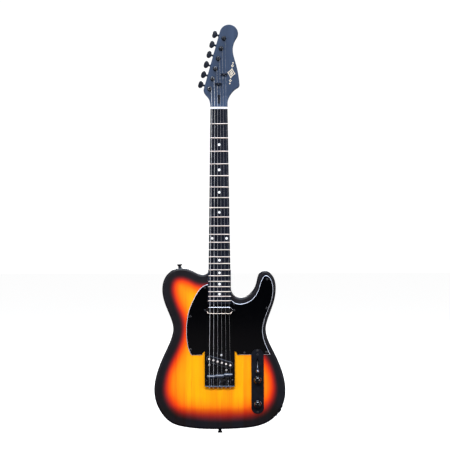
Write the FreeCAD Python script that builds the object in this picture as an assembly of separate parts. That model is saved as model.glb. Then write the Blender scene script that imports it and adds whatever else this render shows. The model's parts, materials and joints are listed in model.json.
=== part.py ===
"""Six-string electric guitar, single cutaway, bolt-on neck, six tuners in line.

Millimetres. X is to the right as the player's audience sees it, -Y is the front (the strings' side) and +Z
runs up the neck. The origin is on the butt end of the body, on its centreline, at half its thickness.
"""
import FreeCAD, Part
import math
import os

from FreeCAD import Vector

# ---- driving dimensions ----
SCALE_LENGTH = 648.0
NUT_Z = 779.4                  # fretboard side of the nut
BODY_THICKNESS = 45.0
BODY_ROUNDOVER = 5.0
FACE_Y = -BODY_THICKNESS / 2
BACK_Y = BODY_THICKNESS / 2

FRETS = 22
BOARD_RADIUS = 305.0
BOARD_TOP_Y = -32.0
BOARD_BOTTOM_Y = -26.0
BOARD_END = 474.0              # distance from the nut to the end of the fretboard
HALF_WIDTH_AT_NUT = 20.85
HALF_WIDTH_AT_LAST_FRET = 27.6
FRET_HEIGHT = 1.1
FRET_WIDTH = 2.4
NUT_LENGTH = 4.8
POCKET_DEPTH = 16.0
POCKET_HALF_WIDTH = 28.0

HEAD_FACE_Y = -21.0
HEAD_BACK_Y = -6.5
HEAD_ROUNDING = 1.5

STRING_RADII = [0.584, 0.457, 0.330, 0.216, 0.165, 0.127]      # bass to treble
NUT_SPACING = 6.88
BRIDGE_SPACING = 10.2
STRING_Y_AT_NUT = -33.4        # underside of the strings

GUARD_THICKNESS = 2.5
GUARD_BEVEL = 1.8
PLATE_THICKNESS = 1.6

BRIDGE_HALF_WIDTH = 36.5
BRIDGE_LOW_Z = 105.4
BRIDGE_HIGH_Z = 189.7
BRIDGE_WALL_HEIGHT = 13.0
BRIDGE_SHEET = 2.0
BARREL_RADIUS = 4.0
BARREL_LENGTH = 20.2
BARREL_PITCH = 20.6
BARREL_Z = [129.4, 130.9, 133.4]           # bass, middle, treble
BARREL_H = [9.6, 10.1, 9.6]                # axis height over the body's face
STRING_HOLE_H = 6.0

PICKUP_SLANT = 16.5
BRIDGE_PICKUP_Z = 164.4
NECK_PICKUP_Z = 289.9

CONTROL_X = 91.9
CONTROL_Z = 116.6
CONTROL_LENGTH = 157.8
CONTROL_WIDTH = 30.5
SWITCH_Z = 161.0
SWITCH_PIVOT_H = -16.0
SWITCH_REST_ANGLE = 30.0
POT_Z = [120.5, 61.6]                      # volume, tone
SHAFT_RADIUS = 3.0
RUNNING_GAP = 0.05

TUNER_TILT = 15.87
TUNER_PITCH = 25.45
FIRST_POST_X = -22.4
FIRST_POST_Z = NUT_Z + 49.9
POST_RADIUS = 3.0
TURN_GAP = 0.9                 # between a string's run and the turns already wound on its post
KEY_OFFSET = 5.5               # key axis from post axis, along the row of tuners
KEY_Y = -1.0
STRING_H_AT_TREE = 4.2         # over the headstock's face

JACK_X = 145.3
JACK_Z = 43.3
JACK_NORMAL = Vector(0.832, 0, -0.554)
JACK_BORE_RADIUS = 3.25

os.makedirs("parts", exist_ok=True)


# ---- helpers ----
def front(height):
    """Y of a level that stands this high over the body's front face."""
    return FACE_Y - height


def at(x, z, y=0.0):
    return Vector(x, y, z)


def spline(points):
    curve = Part.BSplineCurve()
    curve.interpolate([at(x, z) for x, z in points])
    return curve.toShape()


def line(a, b):
    return Part.LineSegment(at(*a), at(*b)).toShape()


def arc(a, middle, b):
    return Part.Arc(at(*a), at(*middle), at(*b)).toShape()


def prism(edges, y_low, y_high):
    face = Part.Face(Part.Wire(edges))
    face.translate(Vector(0, y_low, 0))
    return face.extrude(Vector(0, y_high - y_low, 0))


def polygon(points, y_low, y_high):
    closed = points + points[:1]
    return prism([line(a, b) for a, b in zip(closed, closed[1:])], y_low, y_high)


def block(x0, x1, y0, y1, z0, z1):
    return Part.makeBox(x1 - x0, y1 - y0, z1 - z0, Vector(x0, y0, z0))


def disc(x, z, radius, y_low, y_high):
    return Part.makeCylinder(radius, y_high - y_low, Vector(x, y_low, z), Vector(0, 1, 0))


def rod(start, end, radius):
    return Part.makeCylinder(radius, (end - start).Length, start, end - start)


def stadium(x, z, length, width, y_low, y_high, tilt=0.0):
    """A slot shape along X, turned by tilt degrees (counter-clockwise from the front)."""
    r = width / 2
    a = length / 2 - r
    edges = [line((-a, r), (a, r)), arc((a, r), (a + r, 0), (a, -r)),
             line((a, -r), (-a, -r)), arc((-a, -r), (-a - r, 0), (-a, r))]
    solid = prism(edges, y_low, y_high)
    solid.rotate(Vector(0, 0, 0), Vector(0, -1, 0), tilt)
    solid.translate(at(x, z))
    return solid


def bend(before, corner, after, radius):
    """A tangent arc round a corner of a route, as large as its runs allow up to radius."""
    way_in = (corner - before).normalize()
    way_out = (after - corner).normalize()
    turn = way_in.getAngle(way_out)
    room = 0.45 * min((corner - before).Length, (after - corner).Length)
    reach = min(radius * math.tan(turn / 2), room)
    start = corner - way_in * reach
    end = corner + way_out * reach
    inward = (way_out - way_in).normalize()
    sagitta = reach / math.tan(turn / 2) * (1 / math.cos(turn / 2) - 1)
    middle = corner + inward * sagitta
    return start, middle, end


def bent_wire(points, radius, bend_radius):
    """A round wire of straight runs joined by tangent arcs."""
    edges = []
    last = points[0]
    for before, corner, after in zip(points, points[1:], points[2:]):
        start, middle, end = bend(before, corner, after, bend_radius)
        edges.append(Part.makeLine(last, start))
        edges.append(Part.Arc(start, middle, end).toShape())
        last = end
    edges.append(Part.makeLine(last, points[-1]))
    section = Part.Wire(Part.makeCircle(radius, points[0], points[1] - points[0]))
    return Part.Wire(edges).makePipeShell([section], True, False)


def revolve_y(profile, x=0.0, z=0.0):
    """Turns a closed (radius, y) profile about an axis along Y."""
    closed = profile + profile[:1]
    wire = Part.makePolygon([Vector(r, y, 0) for r, y in closed])
    solid = Part.Face(wire).revolve(Vector(0, 0, 0), Vector(0, 1, 0), 360)
    solid.translate(at(x, z))
    return solid


def ring(radius, wire_radius, centre, axis):
    """One turn of a coil: a hoop of octagonal wire about axis."""
    corners = []
    for k in range(9):
        angle = math.radians(45 * k + 22.5)
        corners.append(Vector(radius + wire_radius * math.cos(angle), 0, wire_radius * math.sin(angle)))
    hoop = Part.Face(Part.makePolygon(corners)).revolve(Vector(0, 0, 0), Vector(0, 0, 1), 360)
    hoop.Placement = FreeCAD.Placement(centre, FreeCAD.Rotation(Vector(0, 0, 1), axis))
    return hoop


def save(name, *shapes):
    solids = [s for shape in shapes for s in shape.Solids]
    group = Part.makeCompound(solids) if len(solids) > 1 else solids[0]
    group.exportStep("parts/%s.step" % name)
    print("%-24s %2d solids %10.1f mm3 valid %s" % (name, len(solids), group.Volume, group.isValid()))


def half_width(distance):
    """Half the fretboard's width at a distance from the nut."""
    last = fret_distance(FRETS)
    return HALF_WIDTH_AT_NUT + (HALF_WIDTH_AT_LAST_FRET - HALF_WIDTH_AT_NUT) * distance / last


def fret_distance(number):
    return SCALE_LENGTH * (1 - 2 ** (-number / 12))


def barrel_x(i):
    return (i - 1) * BARREL_PITCH


def string_x(i, spacing):
    return (i - 2.5) * spacing


def countersunk(x, z, top_y, length, head_radius=2.9, shank_radius=1.5, toward=1):
    """An oval-head wood screw: head at top_y, pointing along +Y (toward=1) or -Y (toward=-1)."""
    cone = 1.8
    profile = [(0, -0.7), (head_radius * 0.6, -0.55), (head_radius, 0), (shank_radius, cone),
               (shank_radius, length - 3), (0, length)]
    screw = revolve_y(profile)
    if toward < 0:
        screw.rotate(Vector(0, 0, 0), Vector(1, 0, 0), 180)
    slot = block(-head_radius, head_radius, -1.5, -0.25, -0.3, 0.3)
    cross = block(-0.3, 0.3, -1.5, -0.25, -head_radius, head_radius)
    if toward < 0:
        slot.rotate(Vector(0, 0, 0), Vector(1, 0, 0), 180)
        cross.rotate(Vector(0, 0, 0), Vector(1, 0, 0), 180)
    screw = screw.cut([slot.common(block(-1.6, 1.6, -2, 2, -2, 2)), cross.common(block(-2, 2, -2, 2, -1.6, 1.6))])
    screw.translate(Vector(x, top_y, z))
    return screw


# ---- body ----
def body_outline():
    bass_and_butt = spline([
        (-28.3, 381.1), (-40.0, 376.2), (-60.0, 383.0), (-86.0, 392.0), (-115.9, 386.7), (-133.9, 367.2),
        (-139.6, 340.0), (-134.0, 308.8), (-119.0, 271.0), (-113.2, 245.0), (-118.2, 221.2),
        (-135.4, 182.4), (-151.2, 143.4), (-159.9, 98.0), (-156.6, 70.0), (-140.1, 36.4),
        (-119.9, 16.8), (-85.0, 5.4), (0.0, 0.0), (55.0, 2.2), (90.6, 7.1), (118.0, 17.6), (135.7, 31.8)])
    jack_seat = line((135.7, 31.8), (152.2, 56.6))
    treble = spline([
        (152.2, 56.6), (158.2, 75.0), (159.9, 98.0), (151.1, 143.4), (134.4, 182.4), (117.4, 219.0),
        (112.4, 243.0), (118.5, 272.0), (133.0, 313.4), (137.0, 343.4), (132.6, 367.4), (124.0, 379.5),
        (111.2, 385.9), (99.4, 381.0), (90.7, 357.4), (82.3, 338.0), (67.2, 324.6), (49.0, 320.3),
        (35.0, 326.2), (28.3, 339.2)])
    under_neck = line((28.3, 339.2), (-28.3, 381.1))
    return [bass_and_butt, jack_seat, treble, under_neck]


def control_cavity():
    return stadium(CONTROL_X, CONTROL_Z, 140.0, 26.0, front(0) - 1, front(-37.0), tilt=90)


def jack_point(depth):
    return Vector(JACK_X, 0, JACK_Z) - JACK_NORMAL * depth


def body_routing():
    neck_pocket = block(-POCKET_HALF_WIDTH, POCKET_HALF_WIDTH, FACE_Y - 1, front(-POCKET_DEPTH),
                        NUT_Z - BOARD_END - 0.15, 400)
    neck_pickup = stadium(0, NECK_PICKUP_Z, 82.0, 22.0, FACE_Y - 1, front(-POCKET_DEPTH))
    bridge_pickup = block(-35, 35, FACE_Y - 1, front(-17.0), 139, 187)
    channel = block(-6, 6, FACE_Y - 1, front(-12.0), 186, 280)
    wire_bore = rod(Vector(30, front(-13.5), 166), Vector(84, front(-13.5), 150), 3.0)
    jack_bore = rod(jack_point(-4), jack_point(52), 11.0)
    return [neck_pocket, neck_pickup, bridge_pickup, channel, wire_bore, control_cavity(), jack_bore]


def make_body(hardware):
    blank = prism(body_outline(), FACE_Y, BACK_Y)
    rims = [e for e in blank.Edges if abs(abs(e.CenterOfMass.y) - BODY_THICKNESS / 2) < 0.01
            and not is_under_neck(e)]
    rounded = blank.makeFillet(BODY_ROUNDOVER, rims)
    return rounded.cut(body_routing()).cut(hardware)


def is_under_neck(edge):
    ends = sorted(round(v.Point.x, 1) for v in edge.Vertexes)
    return ends == [-28.3, 28.3]


# ---- neck ----
def neck_section(z, half, back_y, squareness):
    """A D-shaped section: flat under the fretboard, a super-ellipse behind."""
    depth = back_y - BOARD_BOTTOM_Y
    steps = 12
    points = []
    for k in range(steps + 1):
        angle = math.pi * k / steps
        c = math.cos(angle)
        s = math.sin(angle)
        x = -half * math.copysign(abs(c) ** (2 / squareness), c)
        points.append(Vector(x, BOARD_BOTTOM_Y + depth * abs(s) ** (2 / squareness), z))
    curve = Part.BSplineCurve()
    curve.interpolate(points)
    flat = Part.LineSegment(points[-1], points[0]).toShape()
    return Part.Wire([curve.toShape(), flat])


def neck_shaft():
    """Grows evenly from the nut to the heel, and squares off into the headstock and the heel."""
    sections = [(NUT_Z + 22, 21.3, -7.0, 5.0), (NUT_Z + 8, 20.9, -9.4, 3.0)]
    for distance in (8, 30, 90, 150, 210, 270, 325):
        sections.append((NUT_Z - distance, half_width(distance) - 0.1, -11.0 + 0.0085 * distance, 2.3))
    sections.append((NUT_Z - 350, half_width(350) - 0.1, -7.8, 2.7))
    sections.append((NUT_Z - 372, half_width(372) - 0.1, -7.1, 4.0))
    sections.append((NUT_Z - 392, half_width(392) - 0.1, -6.6, 7.0))
    return Part.makeLoft([neck_section(*s) for s in sections], True, False)


def head_outline():
    slope = math.radians(TUNER_TILT)
    tip_x = 24.5
    tip_z = 183.5
    tip_r = 22.6
    touch = (tip_x - tip_r * math.cos(slope), tip_z + tip_r * math.sin(slope))
    left_low = (-37.6, touch[1] - (touch[0] + 37.6) / math.tan(slope))
    bass = spline([(-20.9, -2.0), (-21.2, 8.0), (-22.2, 17.0), (-26.0, 27.0), (-33.5, 36.0), left_low])
    edge = line(left_low, touch)
    tip = arc(touch, (tip_x, tip_z + tip_r), (tip_x + tip_r * 0.985, tip_z + tip_r * 0.17))
    treble = spline([(tip_x + tip_r * 0.985, tip_z + tip_r * 0.17), (45.2, 176.7), (39.4, 167.0),
                     (34.9, 154.0), (34.1, 141.0), (36.5, 127.5), (42.1, 108.5), (48.0, 80.0), (50.2, 61.0)])
    chin = spline([(50.2, 61.0), (48.6, 54.4), (41.8, 49.6), (31.6, 40.2), (24.6, 29.5), (21.4, 20.0),
                   (20.4, 10.0), (20.9, -2.0)])
    foot = line((20.9, -2.0), (-20.9, -2.0))
    edges = [bass, edge, tip, treble, chin, foot]
    for e in edges:
        e.translate(at(0, NUT_Z))
    return edges


def headstock():
    plate = prism(head_outline(), HEAD_FACE_Y, HEAD_BACK_Y)
    middle_y = (HEAD_FACE_Y + HEAD_BACK_Y) / 2
    plate = plate.makeFillet(HEAD_ROUNDING, [e for e in plate.Edges if abs(e.CenterOfMass.y - middle_y) > 7])
    plate = plate.cut(block(-60, 60, -40, 0, NUT_Z - 10, NUT_Z + 15))
    ledge = prism(head_outline(), HEAD_FACE_Y - 8.5, HEAD_FACE_Y + 1)
    ledge = ledge.cut([block(-60, 60, -40, 0, NUT_Z - 10, NUT_Z + NUT_LENGTH),
                       block(-60, 60, -40, 0, NUT_Z + 33.5, NUT_Z + 250)])
    return plate, ledge


def scoop():
    """The curve by which the headstock's face drops away behind the nut."""
    radius = 48.7
    return Part.makeCylinder(radius, 140, Vector(-70, HEAD_FACE_Y - radius, NUT_Z + 34), Vector(1, 0, 0))


def make_neck(hardware):
    plate, ledge = headstock()
    heel = block(-27.7, 27.7, BOARD_BOTTOM_Y, front(-POCKET_DEPTH), NUT_Z - BOARD_END, NUT_Z - 391)
    heel = heel.makeFillet(4.0, [e for e in heel.Edges if abs(e.CenterOfMass.x) > 27
                                 and e.CenterOfMass.z < NUT_Z - 470 and abs(e.CenterOfMass.y) > 7
                                 and e.Length > 15])
    upper = plate.fuse([ledge, neck_shaft()]).cut(scoop())
    neck = upper.fuse(heel)
    return neck.cut(hardware + [truss_slot()])


def truss_slot():
    slot = stadium(0, NUT_Z + 24.0, 23.0, 4.6, -40, -17.2, tilt=90)
    return slot


def board_blank(top_y):
    low = NUT_Z - BOARD_END
    a = half_width(BOARD_END)
    b = half_width(0)
    return polygon([(-a, low), (a, low), (b, NUT_Z), (-b, NUT_Z)], top_y, BOARD_BOTTOM_Y)


def crown_cylinder(extra):
    """The cylinder that the fretboard's playing surface lies on, grown by extra."""
    centre = Vector(0, BOARD_TOP_Y + BOARD_RADIUS, NUT_Z - BOARD_END - 5)
    return Part.makeCylinder(BOARD_RADIUS + extra, BOARD_END + 20, centre, Vector(0, 0, 1))


def make_dots():
    dots = []
    for fret in (3, 5, 7, 9, 12, 15, 17, 19, 21):
        z = NUT_Z - (fret_distance(fret) + fret_distance(fret - 1)) / 2
        for x in ((-17.5, 17.5) if fret == 12 else (0,)):
            dots.append(disc(x, z, 3.15, -33.0, -30.4))
    surface = crown_cylinder(0)
    return [dot.common(surface) for dot in dots]


def make_frets():
    """Curved wires with a domed crown, each with a tang that sits in a sawn slot."""
    frets = []
    tangs = []
    for number in range(1, FRETS + 1):
        z = NUT_Z - fret_distance(number)
        half = half_width(fret_distance(number)) - 0.25
        reach = math.degrees(math.asin(half / BOARD_RADIUS))
        w = FRET_WIDTH / 2
        low = Vector(0, BOARD_TOP_Y, z - w)
        high = Vector(0, BOARD_TOP_Y, z + w)
        top = Vector(0, BOARD_TOP_Y - FRET_HEIGHT, z)
        crown = Part.Face(Part.Wire([Part.Arc(low, top, high).toShape(), Part.makeLine(high, low)]))
        tang = Part.makePolygon([Vector(0, BOARD_TOP_Y, z - 0.3), Vector(0, BOARD_TOP_Y + 1.8, z - 0.3),
                                 Vector(0, BOARD_TOP_Y + 1.8, z + 0.3), Vector(0, BOARD_TOP_Y, z + 0.3),
                                 Vector(0, BOARD_TOP_Y, z - 0.3)])
        centre = Vector(0, BOARD_TOP_Y + BOARD_RADIUS, z)
        turned = []
        for section in (crown, Part.Face(tang)):
            section.rotate(centre, Vector(0, 0, 1), -reach)
            turned.append(section.revolve(centre, Vector(0, 0, 1), 2 * reach))
        frets.append(turned[0].fuse(turned[1]))
        tangs.append(turned[1])
    return frets, tangs


def make_nut():
    height_y = -34.3
    nut = block(-HALF_WIDTH_AT_NUT, HALF_WIDTH_AT_NUT, height_y - 1, BOARD_BOTTOM_Y, NUT_Z, NUT_Z + NUT_LENGTH)
    centre = Vector(0, height_y + BOARD_RADIUS, NUT_Z - 1)
    nut = nut.common(Part.makeCylinder(BOARD_RADIUS, NUT_LENGTH + 2, centre, Vector(0, 0, 1)))
    slots = []
    for i, r in enumerate(STRING_RADII):
        x = string_x(i, NUT_SPACING)
        slots.append(block(x - r - 0.06, x + r + 0.06, -36, nut_string_y(i) + r + 0.02,
                           NUT_Z - 1, NUT_Z + NUT_LENGTH + 1))
    return nut.cut(slots)


def nut_string_y(i):
    x = string_x(i, NUT_SPACING)
    return STRING_Y_AT_NUT - STRING_RADII[i] + x * x / (2 * BOARD_RADIUS)


def make_truss_rod():
    bar = block(-3, 3, -25.4, -16.4, NUT_Z - 455, NUT_Z + 6)
    threaded_end = rod(Vector(0, -19.6, NUT_Z + 5), Vector(0, -19.6, NUT_Z + 20), 1.2)
    return bar.fuse(threaded_end)


def make_truss_rod_nut():
    barrel = rod(Vector(0, -19.6, NUT_Z + 14.2), Vector(0, -19.6, NUT_Z + 24.2), 2.0)
    bore = rod(Vector(0, -19.6, NUT_Z + 13), Vector(0, -19.6, NUT_Z + 20.2), 1.2 + RUNNING_GAP)
    corners = [Vector(1.25 * math.cos(math.radians(60 * k)), -19.6 + 1.25 * math.sin(math.radians(60 * k)),
                      NUT_Z + 21) for k in range(7)]
    hex_socket = Part.Face(Part.makePolygon(corners)).extrude(Vector(0, 0, 5))
    return barrel.cut([bore, hex_socket])


# ---- strings, trees and tuners ----
def tuner_place(shape, i):
    """Moves a shape made at the origin to tuner i, counted from the nut: its outward side is then -X."""
    moved = shape.copy()
    moved.rotate(Vector(0, 0, 0), Vector(0, 1, 0), TUNER_TILT)
    moved.translate(post_point(i))
    return moved


def post_point(i):
    slope = math.radians(TUNER_TILT)
    return at(FIRST_POST_X + i * TUNER_PITCH * math.sin(slope), FIRST_POST_Z + i * TUNER_PITCH * math.cos(slope))


def make_tuner_bushing():
    sleeve = revolve_y([(5.0, HEAD_BACK_Y), (5.0, HEAD_FACE_Y), (5.9, HEAD_FACE_Y), (5.9, HEAD_FACE_Y - 0.9),
                        (5.2, HEAD_FACE_Y - 1.3), (4.6, HEAD_FACE_Y - 3.2),
                        (POST_RADIUS + RUNNING_GAP, HEAD_FACE_Y - 3.4), (POST_RADIUS + RUNNING_GAP, HEAD_BACK_Y)])
    return sleeve


def make_tuner_housing():
    """Gear box behind the headstock: open towards it, with a bored arm for the key's shaft."""
    box = block(-13.5, 8.5, HEAD_BACK_Y, 4.4, -6.8, 9.8)
    box = box.makeFillet(3.0, [e for e in box.Edges if abs(e.CenterOfMass.y + 1.05) < 1])
    box = box.makeFillet(1.6, [e for e in box.Edges if e.CenterOfMass.y > 4.3])
    neck = rod(Vector(-13.4, KEY_Y, KEY_OFFSET), Vector(-15.6, KEY_Y, KEY_OFFSET), 3.1)
    lug = disc(3.5, -9.4, 3.1, HEAD_BACK_Y, HEAD_BACK_Y + 1.5)
    lug = lug.fuse(block(0.4, 6.6, HEAD_BACK_Y, HEAD_BACK_Y + 1.5, -9.4, -5))
    gear_room = disc(0, 0, 3.9, HEAD_BACK_Y - 1, 1.8)
    worm_room = block(-8.5, 6.5, KEY_Y - 2.6, KEY_Y + 2.6, KEY_OFFSET - 2.6, KEY_OFFSET + 2.6)
    shaft_bore = rod(Vector(-20, KEY_Y, KEY_OFFSET), Vector(-5, KEY_Y, KEY_OFFSET), 1.7 + RUNNING_GAP)
    return box.fuse([neck, lug]).cut([gear_room, worm_room, shaft_bore])


def make_tuner_screw():
    return countersunk(3.5, -9.4, HEAD_BACK_Y + 1.5, 9.0, 2.4, 1.2, toward=-1)


def make_tuner_post(i):
    r = STRING_RADII[i]
    top = -31.6
    profile = [(0, top), (2.3, top), (POST_RADIUS, top + 0.7), (POST_RADIUS, -29.4), (2.6, -28.2),
               (POST_RADIUS, -26.2), (POST_RADIUS, -4.0), (2.0, -4.0), (2.0, 0.5), (0, 0.5)]
    post = revolve_y(profile)
    hole = rod(Vector(0, -28.4, -5), Vector(0, -28.4, 5), 0.9)
    post = post.cut(hole)
    gear = revolve_y([(2.0, -2.5), (3.2, -2.5), (3.2, 0.5), (2.0, 0.5)])
    notches = []
    for k in range(15):
        notch = block(-0.25, 0.25, -3, 1, 2.85, 3.5)
        notch.rotate(Vector(0, 0, 0), Vector(0, 1, 0), 24 * k)
        notches.append(notch)
    gear = gear.cut(notches)
    gear_screw = revolve_y([(0, 0.5), (1.7, 0.5), (1.7, 1.1), (1.2, 1.4), (0, 1.4)])
    turns = []
    for k in range(3):
        y = first_turn_y() - r - TURN_GAP - (2 * r + 0.01) * (k + 0.5)
        turns.append(ring(POST_RADIUS + r + 0.01, r, Vector(0, y, 0), Vector(0, 1, 0)))
    return [post, gear, gear_screw] + turns


def first_turn_y():
    """Where the string reaches the post, over the bushing."""
    return HEAD_FACE_Y - 4.3


def make_tuner_key():
    worm = rod(Vector(-8.0, KEY_Y, KEY_OFFSET), Vector(5.5, KEY_Y, KEY_OFFSET), 2.1)
    shaft = rod(Vector(-27.0, KEY_Y, KEY_OFFSET), Vector(-7.9, KEY_Y, KEY_OFFSET), 1.7)
    worm = worm.fuse(shaft).removeSplitter()
    half = [(-17.2, 2.6), (-18.6, 3.6), (-20.6, 7.6), (-23.6, 9.4), (-27.6, 9.0), (-30.3, 6.0), (-30.8, 2.4)]
    ring = half + [(x, -z) for x, z in reversed(half)]
    curve = Part.BSplineCurve()
    curve.interpolate([at(x, z) for x, z in ring], True)
    button = prism([curve.toShape()], -4.1, 4.1)
    button = button.makeFillet(1.5, [e for e in button.Edges if abs(abs(e.CenterOfMass.y) - 4.1) < 0.1])
    button.translate(Vector(0, KEY_Y, KEY_OFFSET))
    return [worm, button.cut(worm)]


def make_string_tree(x, z):
    """A gull-wing bar that holds two strings down, on a foot."""
    y = HEAD_FACE_Y
    wing = [(-8.0, y - 2.4), (-7.2, y - 3.0), (-6.4, y - 4.9), (-3.6, y - 5.2), (-1.4, y - 4.4), (1.4, y - 4.4),
            (3.6, y - 5.2), (6.4, y - 4.9), (7.2, y - 3.0), (8.0, y - 2.4), (8.2, y - 3.0), (7.0, y - 6.0),
            (3.6, y - 6.3), (1.4, y - 5.6), (-1.4, y - 5.6), (-3.6, y - 6.3), (-7.0, y - 6.0), (-8.2, y - 3.0)]
    outline = Part.makePolygon([Vector(px, py, -2.6) for px, py in wing + wing[:1]])
    bar = Part.Face(outline).extrude(Vector(0, 0, 5.2))
    foot = revolve_y([(0, y), (2.4, y), (1.9, y - 2.5), (1.9, y - 4.6), (0, y - 4.6)])
    tree = bar.fuse(foot).removeSplitter()
    tree.translate(at(x, z))
    return tree


TREES = [(-1.1, NUT_Z + 60.8, (2, 3)), (12.4, NUT_Z + 83.9, (4, 5))]


def make_tree_screws():
    return [countersunk(x, z, HEAD_FACE_Y - 5.6, 14.0, 1.9, 0.9) for x, z, held in TREES]


def string_path(i):
    """Points of one string from its ball end to its tuner."""
    r = STRING_RADII[i]
    saddle = i // 2
    x = string_x(i, BRIDGE_SPACING)
    over = BARREL_RADIUS + r + 0.03
    top = front(BARREL_H[saddle] + over)
    behind = BARREL_Z[saddle] - over * 0.17
    points = [Vector(x, front(STRING_HOLE_H), BRIDGE_LOW_Z - 1.6),
              Vector(x, front(STRING_HOLE_H), BRIDGE_LOW_Z + BRIDGE_SHEET + 0.3),
              Vector(x, top, behind)]
    nut_x = string_x(i, NUT_SPACING)
    nut_y = nut_string_y(i)
    points += [Vector(nut_x, nut_y, NUT_Z), Vector(nut_x, nut_y, NUT_Z + NUT_LENGTH + 0.2)]
    end = post_point(i)
    reach = POST_RADIUS + r + 0.09
    last = Vector(end.x + reach, first_turn_y(), end.z)
    for tree_x, tree_z, held in TREES:
        if i in held:
            share = (tree_z - NUT_Z) / (last.z - NUT_Z)
            points.append(Vector(nut_x + (last.x - nut_x) * share, HEAD_FACE_Y - STRING_H_AT_TREE, tree_z))
    points.append(last)
    return points


def make_strings():
    solids = []
    for i, r in enumerate(STRING_RADII):
        path = string_path(i)
        solids.append(bent_wire(path, r, BARREL_RADIUS + r))
        ball = Part.makeCylinder(1.9, 3.2, path[0] + Vector(-1.6, 0, -1.4), Vector(1, 0, 0))
        solids.append(ball.cut(solids[-1]))
    return solids


# ---- bridge ----
def bridge_plate_shape():
    x = BRIDGE_HALF_WIDTH
    outer = block(-x, x, front(BRIDGE_WALL_HEIGHT), front(0), BRIDGE_LOW_Z, BRIDGE_HIGH_Z)
    outer = outer.makeFillet(4.0, [e for e in outer.Edges if e.CenterOfMass.z < BRIDGE_LOW_Z + 1
                                   and abs(e.CenterOfMass.x) > x - 1])
    inner = block(-x + BRIDGE_SHEET, x - BRIDGE_SHEET, front(BRIDGE_WALL_HEIGHT) - 1, front(BRIDGE_SHEET),
                  BRIDGE_LOW_Z + BRIDGE_SHEET, BRIDGE_HIGH_Z + 1)
    inner = inner.makeFillet(2.0, [e for e in inner.Edges if e.CenterOfMass.z < BRIDGE_LOW_Z + 3
                                   and abs(e.CenterOfMass.x) > x - 3])
    return outer.cut(inner)


def make_bridge_plate(screws):
    plate = bridge_plate_shape()
    holes = [stadium(0, BRIDGE_PICKUP_Z, 69.0, 17.6, front(4), front(-1), tilt=-PICKUP_SLANT)]
    low = BRIDGE_LOW_Z - 1
    for i in range(6):
        x = string_x(i, BRIDGE_SPACING)
        holes.append(rod(Vector(x, front(STRING_HOLE_H), low), Vector(x, front(STRING_HOLE_H), low + 5), 1.4))
    for i in range(3):
        y = front(BARREL_H[i])
        holes.append(rod(Vector(barrel_x(i), y, low), Vector(barrel_x(i), y, low + 5), 1.5 + RUNNING_GAP))
    return plate.cut(holes + screws)


BRIDGE_SCREWS = [(-31.0, 118.6), (-10.2, 118.6), (10.2, 118.6), (31.0, 118.6)]


def make_bridge_screws():
    return [countersunk(x, z, front(BRIDGE_SHEET), 26.0, 3.2, 1.7) for x, z in BRIDGE_SCREWS]


def make_saddle(i):
    x = barrel_x(i)
    y = front(BARREL_H[i])
    z = BARREL_Z[i]
    barrel = rod(Vector(x - BARREL_LENGTH / 2, y, z), Vector(x + BARREL_LENGTH / 2, y, z), BARREL_RADIUS)
    ends = [e for e in barrel.Edges if abs(abs(e.CenterOfMass.x - x) - BARREL_LENGTH / 2) < 0.1]
    barrel = barrel.makeFillet(0.5, ends)
    barrel = barrel.cut(rod(Vector(x, y, z - 9), Vector(x, y, z + 9), 1.5 + RUNNING_GAP))
    grubs = []
    for side in (-1, 1):
        gx = x + side * 8.0
        barrel = barrel.cut(disc(gx, z, 1.5, y - 9, y + 9))
        grub = disc(gx, z, 1.5, front(BARREL_H[i] + 3.0), front(BRIDGE_SHEET + 0.08))
        socket_y = front(BARREL_H[i] + 3.0)
        grub = grub.cut(disc(gx, z, 0.75, socket_y - 1, socket_y + 1.6))
        grubs.append(grub)
    return [barrel] + grubs


def make_intonation_screw(i):
    x = barrel_x(i)
    y = front(BARREL_H[i])
    head = rod(Vector(x, y, BRIDGE_LOW_Z - 2.5), Vector(x, y, BRIDGE_LOW_Z - 0.06), 2.6)
    rim = [e for e in head.Edges if e.CenterOfMass.z < BRIDGE_LOW_Z - 2.4]
    head = head.makeFillet(0.6, rim)
    shank = rod(Vector(x, y, BRIDGE_LOW_Z - 0.5), Vector(x, y, BARREL_Z[i] + 8.5), 1.5)
    slots = [block(x - 1.7, x + 1.7, y - 0.3, y + 0.3, BRIDGE_LOW_Z - 3, BRIDGE_LOW_Z - 1.3),
             block(x - 0.3, x + 0.3, y - 1.7, y + 1.7, BRIDGE_LOW_Z - 3, BRIDGE_LOW_Z - 1.3)]
    return head.fuse(shank).removeSplitter().cut(slots)


def make_intonation_springs():
    """Coil springs between the rear lip and the saddles, as stacks of rings."""
    rings = []
    for i in range(3):
        low = BRIDGE_LOW_Z + BRIDGE_SHEET + 0.6
        high = BARREL_Z[i] - BARREL_RADIUS - 0.6
        turns = 8
        for k in range(turns):
            z = low + (high - low) * k / (turns - 1)
            rings.append(ring(2.2, 0.4, Vector(barrel_x(i), front(BARREL_H[i]), z), Vector(0, 0, 1)))
    return rings


# ---- pickups ----
HEIGHT_SCREWS = [(4.1, 180.6), (-25.5, 157.2), (16.0, 144.9)]
NECK_HEIGHT_SCREWS = [(-35.5, NECK_PICKUP_Z), (35.5, NECK_PICKUP_Z)]
COIL_LOW_H = -7.0


def machine_screw(x, z, seat_h, length, head_radius=2.6):
    y = front(seat_h)
    head = revolve_y([(0, -1.6), (head_radius * 0.7, -1.4), (head_radius, -0.5), (head_radius, 0), (0, 0)])
    head = head.cut([block(-1.5, 1.5, -2, -0.7, -0.3, 0.3), block(-0.3, 0.3, -2, -0.7, -1.5, 1.5)])
    shank = disc(0, 0, 1.45, 0, length)
    screw = head.fuse(shank).removeSplitter()
    screw.translate(Vector(x, y, z))
    return screw


def make_height_screws():
    return ([machine_screw(x, z, BRIDGE_SHEET, 18.0) for x, z in HEIGHT_SCREWS]
            + [machine_screw(x, z, GUARD_THICKNESS, 17.5) for x, z in NECK_HEIGHT_SCREWS])


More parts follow.
